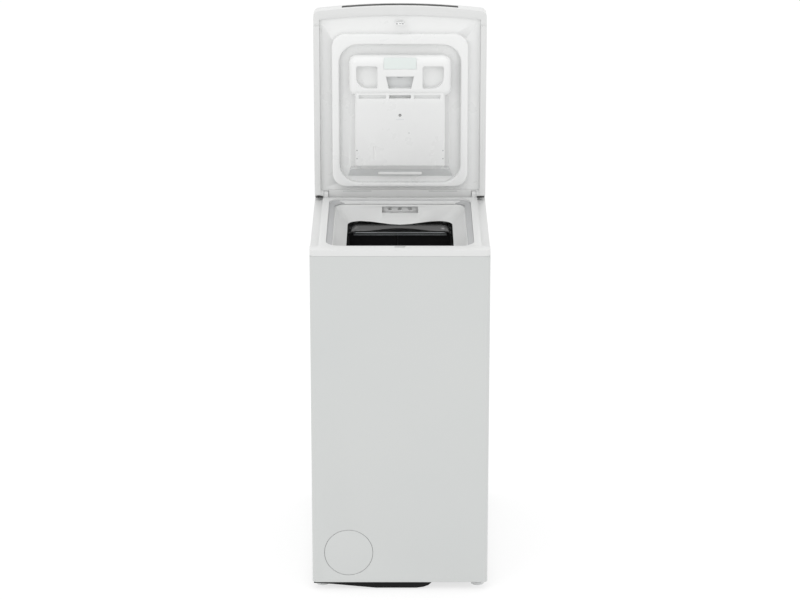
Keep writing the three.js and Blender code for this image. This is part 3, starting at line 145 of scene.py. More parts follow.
class Tree:
    """A material's nodes, added one at a time."""

    def __init__(self, name: str) -> None:
        """Starts a material with a Principled shader.

        Args:
            name: The material's name.
        """
        self.material = bpy.data.materials.new(name)
        self.material.use_nodes = True
        self.nodes = self.material.node_tree.nodes
        self.links = self.material.node_tree.links
        self.shader = self.nodes["Principled BSDF"]

    def add(
        self,
        kind: str,
        settings: dict[str, object],
        inputs: dict[str, object] | Sequence[object],
        output: int | str = 0,
    ) -> Link:
        """Adds any node.

        Args:
            kind: The node's type.
            settings: The node's own settings, set first.
            inputs: Values or links, by socket name or in order.
            output: The socket that the result reads.

        Returns:
            The chosen output.
        """
        node = self.nodes.new(kind)
        for key, value in settings.items():
            setattr(node, key, value)
        pairs = inputs.items() if isinstance(inputs, dict) else enumerate(inputs)
        for key, value in pairs:
            self._feed(node.inputs[key], value)
        return Link(self, node.outputs[output])

    def _feed(self, socket: bpy.types.NodeSocket, value: object) -> None:
        """Links or sets a socket."""
        if isinstance(value, Link):
            self.links.new(value.socket, socket)
        else:
            socket.default_value = value

    def place(self) -> Link:
        """Returns the object's own coordinates."""
        return self.add("ShaderNodeTexCoord", {}, {}, "Object")

    def noise(self, scale: float, detail: float = 2.0, rough: float = 0.5) -> Link:
        """Returns noise over the object, around 0.5."""
        return self.add(
            "ShaderNodeTexNoise",
            {},
            {"Vector": self.place(), "Scale": scale, "Detail": detail, "Roughness": rough},
        )

    def ramp(self, value: Link, stops: Sequence[tuple[float, float]]) -> Link:
        """Maps a value through grey stops.

        Args:
            value: The value to map.
            stops: Positions and grey levels.

        Returns:
            The mapped value.
        """
        node = self.nodes.new("ShaderNodeValToRGB")
        elements = node.color_ramp.elements
        while len(elements) < len(stops):
            elements.new(0.5)
        for element, (position, grey) in zip(elements, stops):
            element.position = position
            element.color = (grey, grey, grey, 1.0)
        self.links.new(value.socket, node.inputs["Fac"])
        return Link(self, node.outputs["Color"])

    def mix(self, factor: Link, first: Colour, second: Colour) -> Link:
        """Blends two colours.

        Args:
            factor: 0 for the first, 1 for the second.
            first: A linear colour.
            second: A linear colour.

        Returns:
            The blended colour.
        """
        node = self.nodes.new("ShaderNodeMix")
        node.data_type = "RGBA"
        self.links.new(factor.socket, node.inputs[0])
        node.inputs[6].default_value = (*first, 1.0)
        node.inputs[7].default_value = (*second, 1.0)
        return Link(self, node.outputs[2])

    def bump(self, height: Link, strength: float, distance: float) -> None:
        """Feeds the shader's normal from a height.

        Args:
            height: The height, 0 to 1.
            strength: How much of it shows.
            distance: The height in metres.
        """
        normal = self.add(
            "ShaderNodeBump",
            {},
            {"Strength": strength, "Distance": distance, "Height": height},
        )
        self.links.new(normal.socket, self.shader.inputs["Normal"])

    def feed(self, socket: str, value: object) -> None:
        """Links or sets one of the shader's sockets."""
        self._feed(self.shader.inputs[socket], value)


# ------------------------------------------------------------------- finishes


@dataclass(frozen=True)
class Finish:
    """A smooth moulded or painted surface with a fine skin and faint wear.

    Attributes:
        name: The material's name.
        colour: The main linear colour.
        dusk: The linear colour that the finish drifts to in faint patches.
        roughness: The middle roughness.
        spread: How far the roughness wanders.
        metallic: 1 for bare metal.
        coat: Weight of a clear coat.
        grain: Size of the skin's cells, in cells for each metre.
        relief: Depth of the skin, in metres.
        brushed: Whether the skin is drawn out along X.
        shine: How strongly the surface mirrors, 0.5 for plain plastic.
    """

    name: str
    colour: Colour
    dusk: Colour
    roughness: float = 0.4
    spread: float = 0.06
    metallic: float = 0.0
    coat: float = 0.0
    grain: float = 900.0
    relief: float = 0.00002
    brushed: bool = False
    shine: float = 0.5

    def material(self) -> bpy.types.Material:
        """Builds the material's nodes.

        Returns:
            The finished material.
        """
        tree = Tree(self.name)
        patches = tree.ramp(tree.noise(3.2, 3.0), [(0.3, 0.0), (0.75, 1.0)])
        tree.feed("Base Color", tree.mix(patches, self.colour, self.dusk))
        skin = self._skin(tree)
        wear = tree.noise(14.0, 4.0, 0.6)
        tree.feed("Roughness", (self.roughness + (wear - 0.5) * self.spread * 2.0).limited())
        tree.feed("Metallic", self.metallic)
        tree.feed("Specular IOR Level", self.shine)
        if self.coat:
            tree.feed("Coat Weight", self.coat)
            tree.feed("Coat Roughness", 0.08)
        tree.bump(skin, 0.35, self.relief)
        return tree.material

    def _skin(self, tree: Tree) -> Link:
        """Returns the fine relief: round cells, or lines along X if brushed."""
        if not self.brushed:
            return tree.noise(self.grain, 2.0, 0.5)
        stretched = tree.add(
            "ShaderNodeMapping", {}, {"Vector": tree.place(), "Scale": (6.0, 900.0, 900.0)}
        )
        return tree.add("ShaderNodeTexNoise", {}, {"Vector": stretched, "Scale": 1.0, "Detail": 3.0})


@dataclass(frozen=True)
class Perforated:
    """Bright drum steel with rows of small dark holes round an axis along X.

    Attributes:
        steel: The sheet's own finish.
        axis_y: The drum axis's place front to back.
        axis_z: The drum axis's height.
        radius: The drum's radius.
        pitch: From hole to hole.
        hole: The holes' linear colour.
        relief: The holes' depth.
    """

    steel: Finish
    axis_y: float = -0.035
    axis_z: float = 0.485
    radius: float = 0.228
    pitch: float = 0.017
    hole: Colour = (0.02, 0.02, 0.02)
    relief: float = 0.0006

    def material(self) -> bpy.types.Material:
        """Builds the material's nodes.

        Returns:
            The finished material.
        """
        tree = Tree(self.steel.name)
        across, deep, high = (
            tree.add("ShaderNodeSeparateXYZ", {}, {"Vector": tree.place()}, axis) for axis in "XYZ"
        )
        turn = (deep - self.axis_y).turned(high - self.axis_z)
        flat = tree.add("ShaderNodeCombineXYZ", {}, {"X": across, "Y": turn * self.radius, "Z": 0.0})
        cells = tree.add(
            "ShaderNodeTexVoronoi",
            {"voronoi_dimensions": "2D"},
            {"Vector": flat, "Scale": 1.0 / self.pitch, "Randomness": 0.0},
            "Distance",
        )
        sheet = tree.ramp(cells, [(0.10, 0.0), (0.14, 1.0)])
        tree.feed("Base Color", tree.mix(sheet, self.hole, self.steel.colour))
        tree.feed("Roughness", self.steel.roughness)
        tree.feed("Metallic", self.steel.metallic)
        tree.bump(sheet, 0.5, self.relief)
        return tree.material


@dataclass(frozen=True)
class Speckled:
    """Cast concrete: grey with aggregate and pits.

    Attributes:
        name: The material's name.
        stone: The aggregate's linear colour.
        cement: The cement's linear colour.
        relief: The pits' depth, in metres.
    """

    name: str = "cast_concrete"
    stone: Colour = (0.36, 0.35, 0.33)
    cement: Colour = (0.24, 0.235, 0.22)
    relief: float = 0.0006

    def material(self) -> bpy.types.Material:
        """Builds the material's nodes."""
        tree = Tree(self.name)
        cells = tree.add("ShaderNodeTexVoronoi", {}, {"Vector": tree.place(), "Scale": 160.0}, "Distance")
        stones = tree.ramp(cells, [(0.15, 0.0), (0.6, 1.0)])
        tree.feed("Base Color", tree.mix(stones, self.stone, self.cement))
        tree.feed("Roughness", 0.9)
        tree.bump(tree.noise(220.0, 5.0, 0.7), 0.6, self.relief)
        return tree.material


class Skin(Enum):
    """The finishes of the machine, by the record's material slot."""

    ENAMEL = "enamel"
    GALVANISED = "galvanised"
    MOULDING = "white_moulding"
    LINER = "white_liner"
    SEAL = "seal_rubber"
    BLACK_RUBBER = "black_rubber"
    BLACK_PLASTIC = "black_plastic"
    DARK_GLOSS = "dark_gloss"
    GREY = "grey_plastic"
    TUB = "tub_plastic"
    STAINLESS = "stainless"
    STEEL = "steel"
    ALUMINIUM = "aluminium"
    CONCRETE = "concrete"

    @property
    def slot(self) -> str:
        """The record's material slot."""
        return self.value


class Tint(Enum):
    """Finishes of small visible details: the slot that each belongs to, and a name."""

    BELLOWS = ("black_rubber", "glossy_bellows")
    CLAMP = ("black_rubber", "clamp_wire")
    NOZZLE = ("grey_plastic", "pale_nozzle")
    PALE_GREY = ("grey_plastic", "pale_grey")
    WINDOW = ("grey_plastic", "frosted_window")
    SHADOW_GREY = ("grey_plastic", "soft_grey")
    INK_AND_SHADE = ("black_plastic", "printed_ink")
    PALE_INK = ("grey_plastic", "pale_print")
    WHITE = ("white_moulding", "bright_moulding")
    GLOW = ("dark_gloss", "display_glow")
    PERFORATED = ("stainless", "perforated_steel")

    @property
    def slot(self) -> str:
        """The record's material slot."""
        return self.value[0]


Look = Skin | Tint


class Paintbox:
    """Every material of the machine, made once and shared."""

    TINTS = {
        Tint.BELLOWS: Finish(
            "glossy_bellows", (0.004, 0.0042, 0.0045), (0.004, 0.004, 0.004), 0.16, 0.03,
            coat=1.0, grain=500.0, relief=0.000004, shine=1.0,
        ),
        # Mid grey for the rods that paint the highlight lines on the bellows' glossy roll.
        Tint.CLAMP: Finish("clamp_wire", (0.34, 0.36, 0.37), (0.3, 0.32, 0.33), 0.3),
        Tint.NOZZLE: Finish("pale_nozzle", (0.78, 0.785, 0.78), (0.75, 0.755, 0.75)),
        Tint.PALE_GREY: Finish("pale_grey", (0.70, 0.71, 0.71), (0.66, 0.67, 0.67)),
        Tint.WINDOW: Finish("frosted_window", (0.76, 0.81, 0.79), (0.73, 0.78, 0.76), 0.25, 0.05, coat=0.2),
        # Grey for painted shade: in the latch notches, in the rear seam gaps and in small holes.
        Tint.SHADOW_GREY: Finish("soft_grey", (0.4, 0.41, 0.41), (0.37, 0.38, 0.38), 0.5),
        # Near black: print on the knob and the screw, and painted shade in the filter gap and under the
        # hinge ears.
        Tint.INK_AND_SHADE: Finish("printed_ink", (0.02, 0.02, 0.02), (0.03, 0.03, 0.03), 0.5),
        Tint.PALE_INK: Finish("pale_print", (0.75, 0.76, 0.77), (0.7, 0.71, 0.72), 0.5),
        Tint.WHITE: Finish("bright_moulding", (0.84, 0.845, 0.84), (0.82, 0.825, 0.82), 0.34),
        Tint.PERFORATED: Perforated(
            Finish("perforated_steel", (0.6, 0.6, 0.59), (0.5, 0.5, 0.5), 0.26, metallic=1.0)
        ),
        Tint.GLOW: Finish("display_glow", (0.5, 0.6, 0.62), (0.45, 0.55, 0.58), 0.2, 0.03, coat=0.5),
    }

    FINISHES = {
        Skin.ENAMEL: Finish(
            "white_enamel", (0.586, 0.598, 0.59), (0.572, 0.588, 0.582), 0.36, 0.04,
            coat=0.25, grain=700.0, relief=0.00003,
        ),
        Skin.GALVANISED: Finish(
            "galvanised_sheet", (0.6, 0.61, 0.62), (0.5, 0.51, 0.53), 0.42, 0.1, metallic=0.85, grain=300.0
        ),
        Skin.MOULDING: Finish(
            "white_moulding", (0.70, 0.705, 0.70), (0.685, 0.69, 0.685), 0.34, 0.05,
            grain=1200.0, relief=0.000005,
        ),
        Skin.LINER: Finish(
            "white_liner", (0.82, 0.825, 0.82), (0.805, 0.81, 0.806), 0.28, 0.03,
            coat=0.1, grain=1200.0, relief=0.000003,
        ),
        Skin.SEAL: Finish(
            "grey_seal_rubber", (0.47, 0.475, 0.48), (0.43, 0.435, 0.44), 0.62, 0.08,
            grain=1500.0, relief=0.00004,
        ),
        Skin.BLACK_RUBBER: Finish(
            "black_rubber", (0.006, 0.006, 0.0065), (0.01, 0.01, 0.01), 0.5, 0.08, shine=0.2
        ),
        Skin.BLACK_PLASTIC: Finish(
            "black_plastic", (0.004, 0.004, 0.004), (0.007, 0.007, 0.007), 0.42, 0.08, shine=0.15
        ),
        Skin.DARK_GLOSS: Finish(
            "dark_glass_fascia", (0.008, 0.008, 0.01), (0.01, 0.01, 0.012), 0.14, 0.03,
            coat=0.6, relief=0.000004,
        ),
        Skin.GREY: Finish("grey_plastic", (0.42, 0.43, 0.44), (0.38, 0.39, 0.4), grain=1300.0),
        Skin.TUB: Finish(
            "tub_plastic", (0.005, 0.005, 0.0055), (0.008, 0.008, 0.008), 0.6, 0.08, shine=0.12
        ),
        Skin.STAINLESS: Finish(
            "stainless_steel", (0.6, 0.6, 0.59), (0.54, 0.54, 0.54), 0.26,
            metallic=1.0, relief=0.00001, brushed=True,
        ),
        Skin.STEEL: Finish(
            "plain_steel", (0.45, 0.45, 0.46), (0.36, 0.36, 0.38), 0.36, 0.1, metallic=1.0, grain=700.0
        ),
        Skin.ALUMINIUM: Finish(
            "cast_aluminium", (0.56, 0.57, 0.58), (0.48, 0.49, 0.5), 0.5, 0.1,
            metallic=1.0, grain=600.0, relief=0.00008,
        ),
        Skin.CONCRETE: Speckled(),
    }

    def __init__(self) -> None:
        """Makes every material."""
        self.jars = {look: finish.material() for look, finish in (self.FINISHES | self.TINTS).items()}

    def coat(self, piece: bpy.types.Object, look: Look) -> None:
        """Gives a piece one finish all over."""
        piece.data.materials.clear()
        piece.data.materials.append(self.jars[look])


# ------------------------------------------------------------------ workbench


Test = Callable[[Vector], bool]


class Bench:
    """Modelling moves with Blender's own operators, one piece at a time."""

    @staticmethod
    def clear() -> None:
        """Leaves edit mode and selects nothing."""
        if bpy.context.object and bpy.context.object.mode != "OBJECT":
            bpy.ops.object.mode_set(mode="OBJECT")
        bpy.ops.object.select_all(action="DESELECT")

    @staticmethod
    def hold(piece: bpy.types.Object) -> None:
        """Makes one piece the only selected and the active one."""
        Bench.clear()
        piece.select_set(True)
        bpy.context.view_layer.objects.active = piece

    @staticmethod
    def named(name: str) -> bpy.types.Object:
        """Names the new primitive and sets its place into its mesh."""
        piece = bpy.context.object
        piece.name = name
        piece.data.name = name
        bpy.ops.object.transform_apply(location=True, rotation=True, scale=True)
        return piece

    @staticmethod
    def settle(piece: bpy.types.Object, turn: Point, place: Point) -> bpy.types.Object:
        """Turns and moves a piece, and sets that into its mesh."""
        Bench.hold(piece)
        piece.rotation_euler = turn
        piece.location = place
        bpy.ops.object.transform_apply(location=True, rotation=True, scale=True)
        return piece

    @staticmethod
    @contextmanager
    def editing(piece: bpy.types.Object) -> Iterator[None]:
        """Opens a piece in edit mode with everything selected, and leaves it again."""
        Bench.hold(piece)
        bpy.ops.object.mode_set(mode="EDIT")
        bpy.ops.mesh.select_all(action="SELECT")
        yield
        bpy.ops.object.mode_set(mode="OBJECT")

    @staticmethod
    def block(name: str, low: Point, high: Point) -> bpy.types.Object:
        """Adds a box between two corners, in metres."""
        Bench.clear()
        middle = [(a + b) / 2 for a, b in zip(low, high)]
        bpy.ops.mesh.primitive_cube_add(size=1.0, location=middle)
        bpy.context.object.scale = [b - a for a, b in zip(low, high)]
        return Bench.named(name)

    @staticmethod
    def rod(
        name: str, radius: float, start: Point, end: Point, sides: int = 64, tip: float | None = None
    ) -> bpy.types.Object:
        """Adds a round bar, or a cone if its tip has another radius.

        Args:
            name: The piece's name.
            radius: The radius at the start.
            start: The middle of one end.
            end: The middle of the other end.
            sides: The number of sides.
            tip: The radius at the end, if it differs.

        Returns:
            The new piece.
        """
        Bench.clear()
        along = Vector(end) - Vector(start)
        bpy.ops.mesh.primitive_cone_add(
            vertices=sides,
            radius1=radius,
            radius2=radius if tip is None else tip,
            depth=along.length,
            location=(Vector(start) + Vector(end)) / 2,
        )
        bpy.context.object.rotation_mode = "QUATERNION"
        bpy.context.object.rotation_quaternion = Vector((0, 0, 1)).rotation_difference(along)
        return Bench.named(name)

    @staticmethod
    def _apply(piece: bpy.types.Object, kind: str, settings: dict[str, object]) -> None:
        """Adds one modifier and applies it."""
        Bench.hold(piece)
        bpy.ops.object.modifier_add(type=kind)
        modifier = piece.modifiers[-1]
        for key, value in settings.items():
            setattr(modifier, key, value)
        bpy.ops.object.modifier_apply(modifier=modifier.name)

    @staticmethod
    def cut(piece: bpy.types.Object, *tools: bpy.types.Object, join: bool = False) -> None:
        """Cuts the tools out of a piece, or joins them to it, and removes them.

        Args:
            piece: The piece that stays.
            tools: The pieces that are used up.
            join: Whether to join instead of cut.
        """
        for tool in tools:
            Bench._apply(
                piece,
                "BOOLEAN",
                {"operation": "UNION" if join else "DIFFERENCE", "object": tool, "solver": "EXACT"},
            )
            bpy.data.objects.remove(tool)

    @staticmethod
    def tidy(piece: bpy.types.Object, merge: float = 0.00002, flat: float = 1.0) -> None:
        """Merges doubles and dissolves the edges inside flat faces."""
        with Bench.editing(piece):
            bpy.ops.mesh.remove_doubles(threshold=merge)
            bpy.ops.mesh.dissolve_limited(angle_limit=math.radians(flat))

    @staticmethod
    def soften(piece: bpy.types.Object, width: float, steps: int = 3, angle: float = 35.0) -> None:
        """Rounds every sharp edge and smooths the shading.

        Args:
            piece: The piece.
            width: The rounding's width, in metres.
            steps: Faces across the rounding.
            angle: Edges sharper than this, in degrees, are rounded.
        """
        Bench._apply(
            piece,
            "BEVEL",
            {
                "width": width,
                "segments": steps,
                "limit_method": "ANGLE",
                "angle_limit": math.radians(angle),
                "miter_outer": "MITER_ARC",
                "use_clamp_overlap": True,
            },
        )
        Bench.smooth(piece)

    @staticmethod
    def round_off(piece: bpy.types.Object, width: float, steps: int, test: Test) -> None:
        """Rounds the sharp edges that lie where a test holds.

        Args:
            piece: The piece.
            width: The rounding's width, in metres.
            steps: Faces across the rounding.
            test: Holds for both ends of each edge that is rounded.
        """
        Bench.hold(piece)
        bpy.ops.object.mode_set(mode="EDIT")
        bpy.ops.mesh.select_mode(type="EDGE")
        bpy.ops.mesh.select_all(action="DESELECT")
        bpy.ops.mesh.edges_select_sharp(sharpness=math.radians(30.0))
        bpy.ops.object.mode_set(mode="OBJECT")
        mesh = piece.data
        for edge in mesh.edges:
            edge.select = edge.select and all(test(mesh.vertices[i].co) for i in edge.vertices)
        for item in (*mesh.vertices, *mesh.polygons):
            item.select = False
        bpy.ops.object.mode_set(mode="EDIT")
        bpy.ops.mesh.bevel(offset=width, segments=steps, clamp_overlap=True)
        bpy.ops.object.mode_set(mode="OBJECT")

    @staticmethod
    def thicken(piece: bpy.types.Object, thick: float) -> None:
        """Gives an open wall a thickness, outwards."""
        Bench._apply(piece, "SOLIDIFY", {"thickness": thick, "offset": 1.0})

    @staticmethod
    def slice(piece: bpy.types.Object, point: Point, normal: Point) -> None:
        """Cuts a piece with a plane, drops what lies on the normal's side and closes the cut."""
        with Bench.editing(piece):
            bpy.ops.mesh.bisect(
                plane_co=point, plane_no=Vector(normal).normalized(), use_fill=True, clear_outer=True
            )

    @staticmethod
    def smooth(piece: bpy.types.Object, angle: float = 35.0) -> None:
        """Smooths the shading across edges flatter than an angle."""
        Bench.hold(piece)
        bpy.ops.object.shade_smooth_by_angle(angle=math.radians(angle))

    @staticmethod
    def copy_of(node: bpy.types.Object, name: str) -> bpy.types.Object:
        """Copies a frame node with a mesh of its own, its doubles merged."""
        Bench.hold(node)
        bpy.ops.object.duplicate()
        piece = bpy.context.object
        piece.name = name
        piece.data.name = name
        piece.parent = None
        Bench.tidy(piece)
        return piece

    @staticmethod
    def merge(name: str, pieces: Sequence[bpy.types.Object]) -> bpy.types.Object:
        """Joins pieces into one object."""
        Bench.clear()
        for piece in pieces:
            piece.select_set(True)
        bpy.context.view_layer.objects.active = pieces[0]
        bpy.ops.object.join()
        pieces[0].name = name
        pieces[0].data.name = name
        return pieces[0]


# --------------------------------------------------------------- the machine


class Workshop:
    """What every sub-assembly needs: the frame, the bench and the paints."""

    def __init__(self, frame: dict, paints: Paintbox) -> None:
        """Keeps the frame and the paints.

        Args:
            paints: The materials.
        """
        self.frame = frame
        self.paints = paints
        self.finished: set[str] = set()
        self.body_of = {
            node: body
            for body, nodes in frame["record"]["behaviour"]["bodies"].items()
            for node in nodes
        }
        self.slot_of = {
            part["node"]: part["material_slot"] for part in frame["record"]["subparts"]
        }

    def place(
        self,
        piece: bpy.types.Object,
        body: str,
        look: Look,
        replaces: Iterable[str] = (),
    ) -> bpy.types.Object:
        """Puts a finished piece on its body, in its finish.

        Args:
            piece: The finished piece.
            body: The body that it rides on.
            look: Its finish.
            replaces: The frame nodes that it stands for.

        Returns:
            The piece.
        """
        self.paints.coat(piece, look)
        look.slot
        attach(piece, body)
        if replaces:
            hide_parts(*replaces)
            self.finished.update(replaces)
        LOG.info("%s rides on %s", piece.name, body)
        return piece

    def skin_of(self, node: str) -> Skin:
        """Returns the finish of a frame node's slot."""
        return Skin(self.slot_of[node])

    def refine(
        self, node: str, width: float, steps: int = 3, angle: float = 35.0, look: Look | None = None
    ) -> bpy.types.Object:
        """Replaces a node by a copy of it with rounded edges.

        Args:
            node: The frame node.
            width: The rounding's width, in metres.
            steps: Faces across the rounding.
            angle: Edges sharper than this, in degrees, are rounded.
            look: Its finish, if it isn't its slot's own.

        Returns:
            The new piece.
        """
        piece = Bench.copy_of(self.frame["nodes"][node], node + "_finished")
        Bench.soften(piece, width, steps, angle)
        return self.place(piece, self.body_of[node], look or self.skin_of(node), [node])


@dataclass
class InnerWorks:
    """The tub, the drum, the drive and all else that has no sub-assembly of its own.

    Attributes:
        shop: The workshop.
    """

    PERFORATED = ("drum_shell", "flap_front", "flap_rear")
    shop: Workshop

    def dress(self) -> None:
        """Gives every frame node its slot's material."""
        for node, piece in self.shop.frame["nodes"].items():
            self.shop.paints.coat(piece, self.shop.skin_of(node))

    def build(self) -> None:
        """Replaces each node that is still a frame node by a smoothly shaded copy."""
        for node, source in self.shop.frame["nodes"].items():
            if node in self.shop.finished:
                continue
            piece = Bench.copy_of(source, node + "_finished")
            bpy.ops.mesh.customdata_custom_splitnormals_clear()
            Bench.smooth(piece, 30.0)
            look = Tint.PERFORATED if node in self.PERFORATED else self.shop.skin_of(node)
            self.shop.place(piece, self.shop.body_of[node], look, [node])


@dataclass
class Studio:
    """The floor, the lights and the camera.

    Attributes:
        distance: From the camera to the point that it looks at.
        elevation: The camera's angle above the horizon, in degrees.
        lens: The lens, in millimetres.
        aim: The point that the camera looks at.
    """

    distance: float = 6.6
    elevation: float = 17.9
    lens: float = 127.7
    aim: Point = (0.0, 0.0, 0.5985)

    def build(self) -> None:
        """Builds the studio."""
        self._floor()
        self._world()
        self._lights()
        self._camera()

    def _floor(self) -> None:
        """Lays a pale floor."""
        Bench.clear()
        bpy.ops.mesh.primitive_plane_add(size=80.0, location=(0.0, 0.0, 0.0))
        floor = bpy.context.object
        floor.name = "studio_floor"
        tree = Tree("studio_floor")
        tree.feed("Base Color", (0.3, 0.3, 0.3, 1.0))
        tree.feed("Roughness", 0.9)
        tree.feed("Specular IOR Level", 0.0)
        tree.feed("Emission Color", (1.0, 1.0, 1.0, 1.0))
        tree.feed("Emission Strength", 0.72)
        floor.data.materials.append(tree.material)

    def _world(self) -> None:
        """Lights the scene evenly from all round."""
        world = bpy.data.worlds.new("studio_air")
        world.use_nodes = True
        air = world.node_tree.nodes["Background"]
        air.inputs["Color"].default_value = (1.0, 1.0, 1.0, 1.0)
        air.inputs["Strength"].default_value = 1.0
        bpy.context.scene.world = world
        bpy.context.scene.view_settings.view_transform = "Standard"

    def _light(self, name: str, place: Point, size: float, power: float) -> None:
        """Hangs one square soft light that faces the machine."""
        lamp = bpy.data.lights.new(name, "AREA")
        lamp.shape = "SQUARE"
        lamp.size = size
        lamp.energy = power
        hung = bpy.data.objects.new(name, lamp)
        bpy.context.scene.collection.objects.link(hung)
        hung.location = place
        hung.rotation_mode = "QUATERNION"
        hung.rotation_quaternion = (Vector(self.aim) - Vector(place)).to_track_quat("-Z", "Y")

    def _lights(self) -> None:
        """Hangs the key, the fill and the back light."""
        self._light("key_light", (-2.4, -3.4, 3.6), 2.2, 22.0)
        self._light("fill_light", (2.8, -3.0, 2.0), 2.6, 6.0)
        self._light("top_light", (0.0, 0.4, 4.2), 2.4, 14.0)

    def _camera(self) -> None:
        """Sets the camera in front of and above the machine."""
        angle = math.radians(self.elevation)
        back = Vector((0.0, -math.cos(angle), math.sin(angle)))
        lens = bpy.data.cameras.new("camera")
        lens.lens = self.lens
        camera = bpy.data.objects.new("camera", lens)
        bpy.context.scene.collection.objects.link(camera)
        camera.location = Vector(self.aim) + back * self.distance
        camera.rotation_mode = "QUATERNION"
        camera.rotation_quaternion = (-back).to_track_quat("-Z", "Y")
        bpy.context.scene.camera = camera


@dataclass
class Level:
    """One level of a round-cornered loft.

    Attributes:
        half: Half its width, across X.
        low: Its front or lower edge, across the loft's second axis.
        high: Its back or upper edge.
        rise: Its place along the loft's third axis.
    """

    half: float
    low: float
    high: float
    rise: float


class Loft:
    """A round-cornered wall grown level by level from one rounded rectangle."""

    def __init__(self, name: str, first: Level, radius: float, corner_steps: int = 8) -> None:
        """Adds the first level as a loop of edges, left in edit mode.

        Args:
            name: The piece's name.
            first: The first level.
            radius: The corners' radius there.
            corner_steps: Edges in each corner.
        """
        Bench.clear()
        middle = (first.low + first.high) / 2
        bpy.ops.mesh.primitive_plane_add(size=1.0, location=(0.0, middle, first.rise))
        bpy.context.object.scale = (first.half * 2, first.high - first.low, 1.0)
        self.piece = Bench.named(name)
        self.level = first
        bpy.ops.object.mode_set(mode="EDIT")
        bpy.ops.mesh.select_all(action="SELECT")
        bpy.ops.mesh.bevel(offset=radius, segments=corner_steps, affect="VERTICES")
        bpy.ops.mesh.select_all(action="SELECT")
        bpy.ops.mesh.delete(type="ONLY_FACE")
        bpy.ops.mesh.select_all(action="SELECT")

    def grow(self, level: Level) -> "Loft":
        """Extrudes the last loop to a new level.

        Args:
            level: The new level.

        Returns:
            The loft, for chaining.
        """
        last = self.level
        wide = level.half / last.half
        long = (level.high - level.low) / (last.high - last.low)
        middle = (last.low + last.high) / 2
        bpy.ops.mesh.extrude_edges_move()
        bpy.ops.transform.resize(value=(wide, long, 1.0), center_override=(0.0, middle, last.rise))
        shift = (level.low + level.high) / 2 - middle
        bpy.ops.transform.translate(value=(0.0, shift, level.rise - last.rise))
        self.level = level
        return self

    def finish(self) -> bpy.types.Object:
        """Turns every face outwards and leaves edit mode.

        Returns:
            The piece.
        """
        bpy.ops.mesh.select_all(action="SELECT")
        bpy.ops.mesh.normals_make_consistent(inside=False)
        bpy.ops.object.mode_set(mode="OBJECT")
        return self.piece


# ------------------------------------------------------------- sub-assemblies


@dataclass
class LidFrame:
    """Turns lid coordinates, in millimetres, into places in metres with the lid open.

    U runs up from the hinge and V runs back through the lid.

    Attributes:
        axis_y: The hinge's place front to back.
        axis_z: The hinge's height.
    """

    axis_y: float = 0.140
    axis_z: float = 0.816

    def at(self, x: float, u: float, v: float) -> Point:
        """Returns the place of one point."""
        return (x * MM, self.axis_y + v * MM, self.axis_z + u * MM)

    def block(
        self, name: str, x: tuple[float, float], u: tuple[float, float], v: tuple[float, float]
    ) -> bpy.types.Object:
        """Adds a box between two sides on each axis."""
        return Bench.block(name, self.at(x[0], u[0], v[0]), self.at(x[1], u[1], v[1]))

    def rod(
        self, name: str, radius: float, x: float, u: float, v: tuple[float, float]
    ) -> bpy.types.Object:
        """Adds a round bar through the lid's thickness."""
        return Bench.rod(name, radius * MM, self.at(x, u, v[0]), self.at(x, u, v[1]), 24)

    def facing(self, v: float, slack: float = 0.2) -> Test:
        """Returns a test that holds on the plane at one depth."""
        return lambda place: abs(place.y - self.axis_y - v * MM) < slack * MM


@dataclass
class Cabinet:
    """The sheet shell, its filter cover, and the back panel with its screws and transit plugs.

    Attributes:
        shop: The workshop.
        fold: The rounding of the sheet's edges.
        screw_inset: From the back panel's side edges to its screws.
        screw_margin: From its top and bottom to the end screws.
        plug_x: The transit plugs' distance from the middle.
        plug_heights: The transit plugs' heights.
    """

    shop: Workshop
    fold: float = 0.0012
    screw_inset: float = 0.013
    screw_margin: float = 0.03
    plug_x: float = 0.12
    plug_heights: tuple[float, float] = (0.25, 0.49)

    def build(self) -> None:
        """Builds the cabinet's visible pieces."""
        self.shop.refine("cabinet_shell", self.fold, 2)
        self.shop.refine("filter_surround", 0.0008)
        self.shop.refine("filter_cover", 0.0009)
        self._filter_groove()
        self._back()

    def _filter_groove(self) -> None:
        """Seats a black ring in the gap round the filter cover: painted shade of the gap."""
        low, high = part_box("filter_cover")
        middle = (low + high) / 2
        radius = (high.x - low.x) / 2
        start = (middle.x, low.y + 0.0016, middle.z)
        end = (middle.x, low.y + 0.0032, middle.z)
        # The black ring behind the gap paints the gap's shade.
        ring = Bench.rod("filter_groove", radius + 0.0008, start, end, 96)
        hole = Bench.rod("hole", radius - 0.0012, (start[0], start[1] - 0.01, start[2]),
                         (end[0], end[1] + 0.01, end[2]), 96)
        Bench.cut(ring, hole)
        self.shop.place(ring, "cabinet", Tint.INK_AND_SHADE)

    def _back(self) -> None:
        """Refines the back panel and adds its screws and the transit plugs."""
        self.shop.refine("back_panel", 0.0006, 2)
        self.shop.refine("inlet_valve", 0.0008)
        low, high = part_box("back_panel")
        pitch = (high.z - low.z - 2 * self.screw_margin) / 4
        rows = [low.z + self.screw_margin + i * pitch for i in range(5)]
        screws = []
        for side in Side:
            for row in rows:
                place = (side.value * (high.x - self.screw_inset), high.y - 0.0004, row)
                end = (place[0], high.y + 0.0006, row)
                head = Bench.rod("screw", 0.0042, place, end, 24)
                Bench.soften(head, 0.0004, 2)
                screws.append(head)
        joined = Bench.merge("back_screws", screws)
        self.shop.place(joined, "cabinet", Skin.STEEL)
        plugs = []
        for side in Side:
            for level in self.plug_heights:
                start = (side.value * self.plug_x, high.y - 0.0095, level)
                end = (side.value * self.plug_x, high.y - 0.003, level)
                plug = Bench.rod("plug", 0.017, start, end, 40)
                Bench.soften(plug, 0.0012)
                plugs.append(plug)
        self.shop.place(Bench.merge("transit_plugs", plugs), "cabinet", Skin.GREY)


